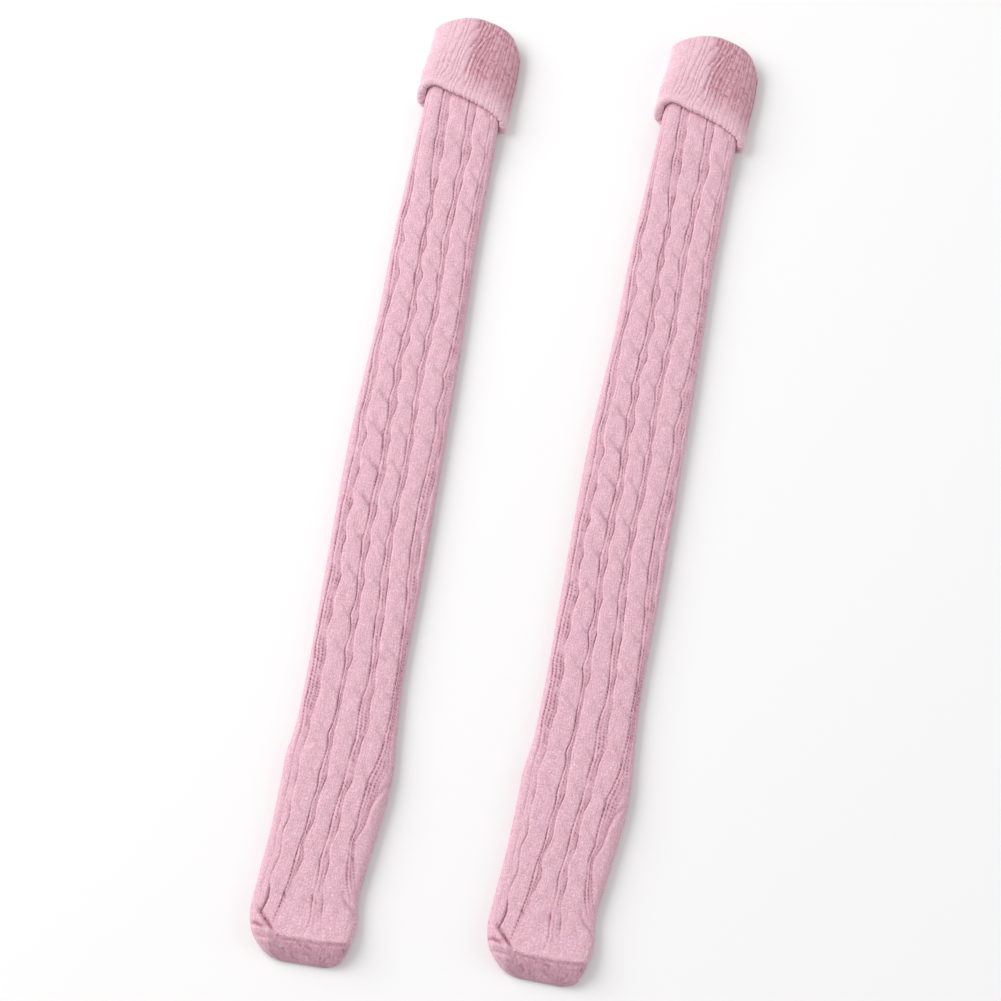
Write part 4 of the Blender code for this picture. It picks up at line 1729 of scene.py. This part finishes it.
        columns = points.shape[1]
        hidden = len(slit) + len(inner) + len(lining)
        # Painted shade on the lip, the fold's crest and the hidden layers.
        left_side = bell(np.minimum(self.shares(), 1 - self.shares()), self.left_width)
        shades = np.outer(self.lip_shades, 1 + self.darker_at_left * left_side)
        crest_shades = np.repeat(painted_shade[-1:], len(crest), axis=0)
        hidden_shades = np.full((hidden, columns), self.hidden_shade)
        marks = {
            "painted_shade": np.concatenate([painted_shade, crest_shades, hidden_shades, shades]),
            "purl": np.concatenate([purl, np.zeros((len(points) - self.rings, columns))]),
        }
        return Shell(points, self.stitches(points, phase), marks, Ends.LOOPED)

    def lining(self, way: Floats) -> Floats:
        """Rings of the inside of the outer layer, which rests on the leg at its hem.

        Args:
            way: how far each ring is from the hem to the fold.
        """
        rings = self.outer_layer(way, inset=self.wall)
        x, beside = rings[..., 0], np.minimum(rings[..., 1], self.leg.length)
        leg_left = self.leg.sections["left"].at(beside) - self.rest_gap
        leg_right = self.leg.sections["right"].at(beside) + self.rest_gap
        share = self.shares()
        left_roll = self.hem_roll * bell(np.minimum(share, 1 - share), self.left_roll_width)
        right_roll = self.hem_roll * bell(share - 0.5, self.right_roll_width)
        x = np.where(x < leg_left, np.minimum(x + left_roll, leg_left), x)
        rings[..., 0] = np.where(x > leg_right, np.maximum(x - right_roll, leg_right), x)
        corner = ease(*self.corner_shares, share) * (1 - ease(*self.corner_ends, way))[:, None]
        rings[..., 2] = np.maximum(rings[..., 2], self.corner_lift * corner)
        y = np.minimum(rings[..., 1], self.leg.length)
        leg_top = self.leg.top_at(rings[..., 0], y)
        over = (leg_top > 0) & (np.arange(rings.shape[1]) < self.above)
        resting = np.where(over, leg_top + self.rest_gap, rings[..., 2])
        pull = (1 - ease(*self.rests, way))[:, None]
        rings[..., 2] = np.maximum(rings[..., 2] + pull * (resting - rings[..., 2]), resting * over)
        return rings

    def inner_layer(self, way: Floats) -> Floats:
        """Rings of the outside of the inner layer, from its seam to just under the fold."""
        left, right, lift, _, top = self.leg.section(np.full(len(way), self.leg.length))
        x, z = self.oval(left, right, lift, top + self.leg.strand_rise)
        start = self.leg.length + self.seam_gap
        end = self.brim["fold"].at(self.shares()) - self.layer_gap
        return np.stack([x, start + way[:, None] * (end - start), z], axis=-1)

    def stitches(self, points: Floats, phase: Floats) -> Floats:
        """The stitch coordinates of the corners of every face, (strips, columns, 4, 2)."""
        rings, columns = points.shape[:2]
        wale = np.concatenate([phase, np.repeat(phase[-1:], rings - len(phase), axis=0)])
        steps = np.linalg.norm(np.diff(points[..., 1:], axis=0), axis=-1).mean(axis=1)
        course = np.concatenate([[0.0], np.cumsum(steps)])[:, None] / self.course
        course = np.repeat(course, columns, axis=1)
        wale = np.vstack([wale, wale[:1]])
        course = np.vstack([course, course[-1:] + 1.0])
        last = np.full((rings + 1, 1), float(self.ribs))
        next_wale = np.concatenate([wale[:, 1:], wale[:, :1] + last], axis=1)
        corners = [
            np.stack([wale[:-1], course[:-1]], axis=-1),
            np.stack([next_wale[:-1], course[:-1]], axis=-1),
            np.stack([next_wale[1:], course[1:]], axis=-1),
            np.stack([wale[1:], course[1:]], axis=-1),
        ]
        return np.stack(corners, axis=2)


# ---------------------------------------------------------------------------------------------
# The pair
# ---------------------------------------------------------------------------------------------


@dataclass(frozen=True)
class Finishes:
    """The yarns of the pair."""

    cable: KnittedAcrylic = KnittedAcrylic(
        "cable_knitted_acrylic",
        light="#f0c6d3",
        middle="#d3a0b0",
        lilac="#d29fb5",
        deep="#a5617a",
        sunk=0.24,
        speckle=0.45,
    )
    rib: KnittedAcrylic = KnittedAcrylic(
        "rib_knitted_acrylic",
        light="#efcbd6",
        middle="#dcaab8",
        lilac="#daa8ba",
        deep="#b87886",
        sunk=0.6,
        stitch_bump=0.4,
    )


@dataclass(frozen=True)
class Sock:
    """One sock: its leg with its foot, and its cuff."""

    place: Place

    def build(self, leg: Shell, cuff: Shell, finishes: dict[str, bpy.types.Material]) -> None:
        """Lays the sock down and puts it in the place of its solids.

        Args:
            leg: the shell of the leg and foot.
            cuff: the shell of the cuff.
            finishes: the materials, by the record's slots.
        """
        side = self.place.side
        tube = lay_shell(f"{side}_leg_foot_knit", leg, self.place, finishes["cable_knit"])
        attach(tube, "root")
        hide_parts(f"{side}_leg_foot")
        LOG.info("%s: %d faces", tube.name, len(tube.data.polygons))
        band = lay_shell(f"{side}_cuff_knit", cuff, self.place, finishes["rib_knit"])
        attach(band, "root")
        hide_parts(f"{side}_cuff")
        LOG.info("%s: %d faces", band.name, len(band.data.polygons))


# ---------------------------------------------------------------------------------------------
# The studio
# ---------------------------------------------------------------------------------------------


@dataclass(frozen=True)
class SoftLight:
    """A large square light that points at the socks.

    Fields:
        name: the light's name.
        place: where it stands, in metres.
        size: its side, in metres.
        power: in watts.
    """

    name: str
    place: tuple[float, float, float]
    size: float
    power: float

    def build(self) -> None:
        """Adds the light."""
        light = bpy.data.lights.new(self.name, "AREA")
        light.shape = "SQUARE"
        light.size = self.size
        light.energy = self.power
        lamp = bpy.data.objects.new(self.name, light)
        lamp.location = self.place
        lamp.rotation_mode = "QUATERNION"
        lamp.rotation_quaternion = (-Vector(self.place)).to_track_quat("-Z", "Y")
        bpy.context.scene.collection.objects.link(lamp)


@dataclass(frozen=True)
class Studio:
    """A pale floor, soft light from both sides, stronger from the left, and the photo's camera."""

    floor_side: float = 32.0
    lens: float = 83.26
    sensor: float = 36.0
    target: tuple[float, float, float] = (-0.00785, -0.0297, 0.0)
    camera_place: tuple[float, float, float] = (0.1091, -0.6938, 1.6689)
    sky: float = 0.55
    lights: tuple[SoftLight, ...] = (
        SoftLight("key_light", (-3.2, 1.1, 2.2), 3.2, 160.0),
        SoftLight("side_light", (3.0, 0.3, 1.5), 2.4, 22.0),
    )

    def build(self) -> None:
        """Adds the floor, the lights and the camera."""
        half = self.floor_side / 2
        mesh = bpy.data.meshes.new("floor")
        corners = [(-half, -half, 0.0), (half, -half, 0.0), (half, half, 0.0), (-half, half, 0.0)]
        mesh.from_pydata(corners, [], [(0, 1, 2, 3)])
        mesh.materials.append(MattPaper().build())
        floor = bpy.data.objects.new("floor", mesh)
        floor.location.z = -0.0004
        bpy.context.scene.collection.objects.link(floor)
        for light in self.lights:
            light.build()
        world = bpy.data.worlds.new("studio")
        world.use_nodes = True
        background = world.node_tree.nodes["Background"]
        background.inputs["Color"].default_value = (1.0, 1.0, 1.0, 1.0)
        background.inputs["Strength"].default_value = self.sky
        bpy.context.scene.world = world
        bpy.context.scene.view_settings.view_transform = "Standard"
        self.add_camera()

    def add_camera(self) -> None:
        """Adds the camera and looks through it."""
        data = bpy.data.cameras.new("camera")
        data.lens = self.lens
        data.sensor_width = self.sensor
        data.clip_start, data.clip_end = 0.05, 50.0
        camera = bpy.data.objects.new("camera", data)
        camera.location = self.camera_place
        direction = Vector(self.target) - Vector(self.camera_place)
        camera.rotation_mode = "QUATERNION"
        camera.rotation_quaternion = direction.to_track_quat("-Z", "Y")
        bpy.context.scene.collection.objects.link(camera)
        bpy.context.scene.camera = camera


PLACES = (
    Place("left", -0.0838, -0.4087, 1.075),
    Place("right", 0.0861, -0.3919, -1.075),
)


def main() -> None:
    """Builds the pair and the studio."""
    logging.basicConfig(level=logging.INFO, format="%(name)s: %(message)s")
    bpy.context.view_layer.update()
    finishes = Finishes()
    materials = {"cable_knit": finishes.cable.build(), "rib_knit": finishes.rib.build()}
    leg = LegAndFoot()
    leg_shell, cuff_shell = leg.shell(), TurnedCuff(leg).shell()
    Studio().build()
    for place in PLACES:
        Sock(place).build(leg_shell, cuff_shell, materials)


if __name__ == "__main__":
    main()
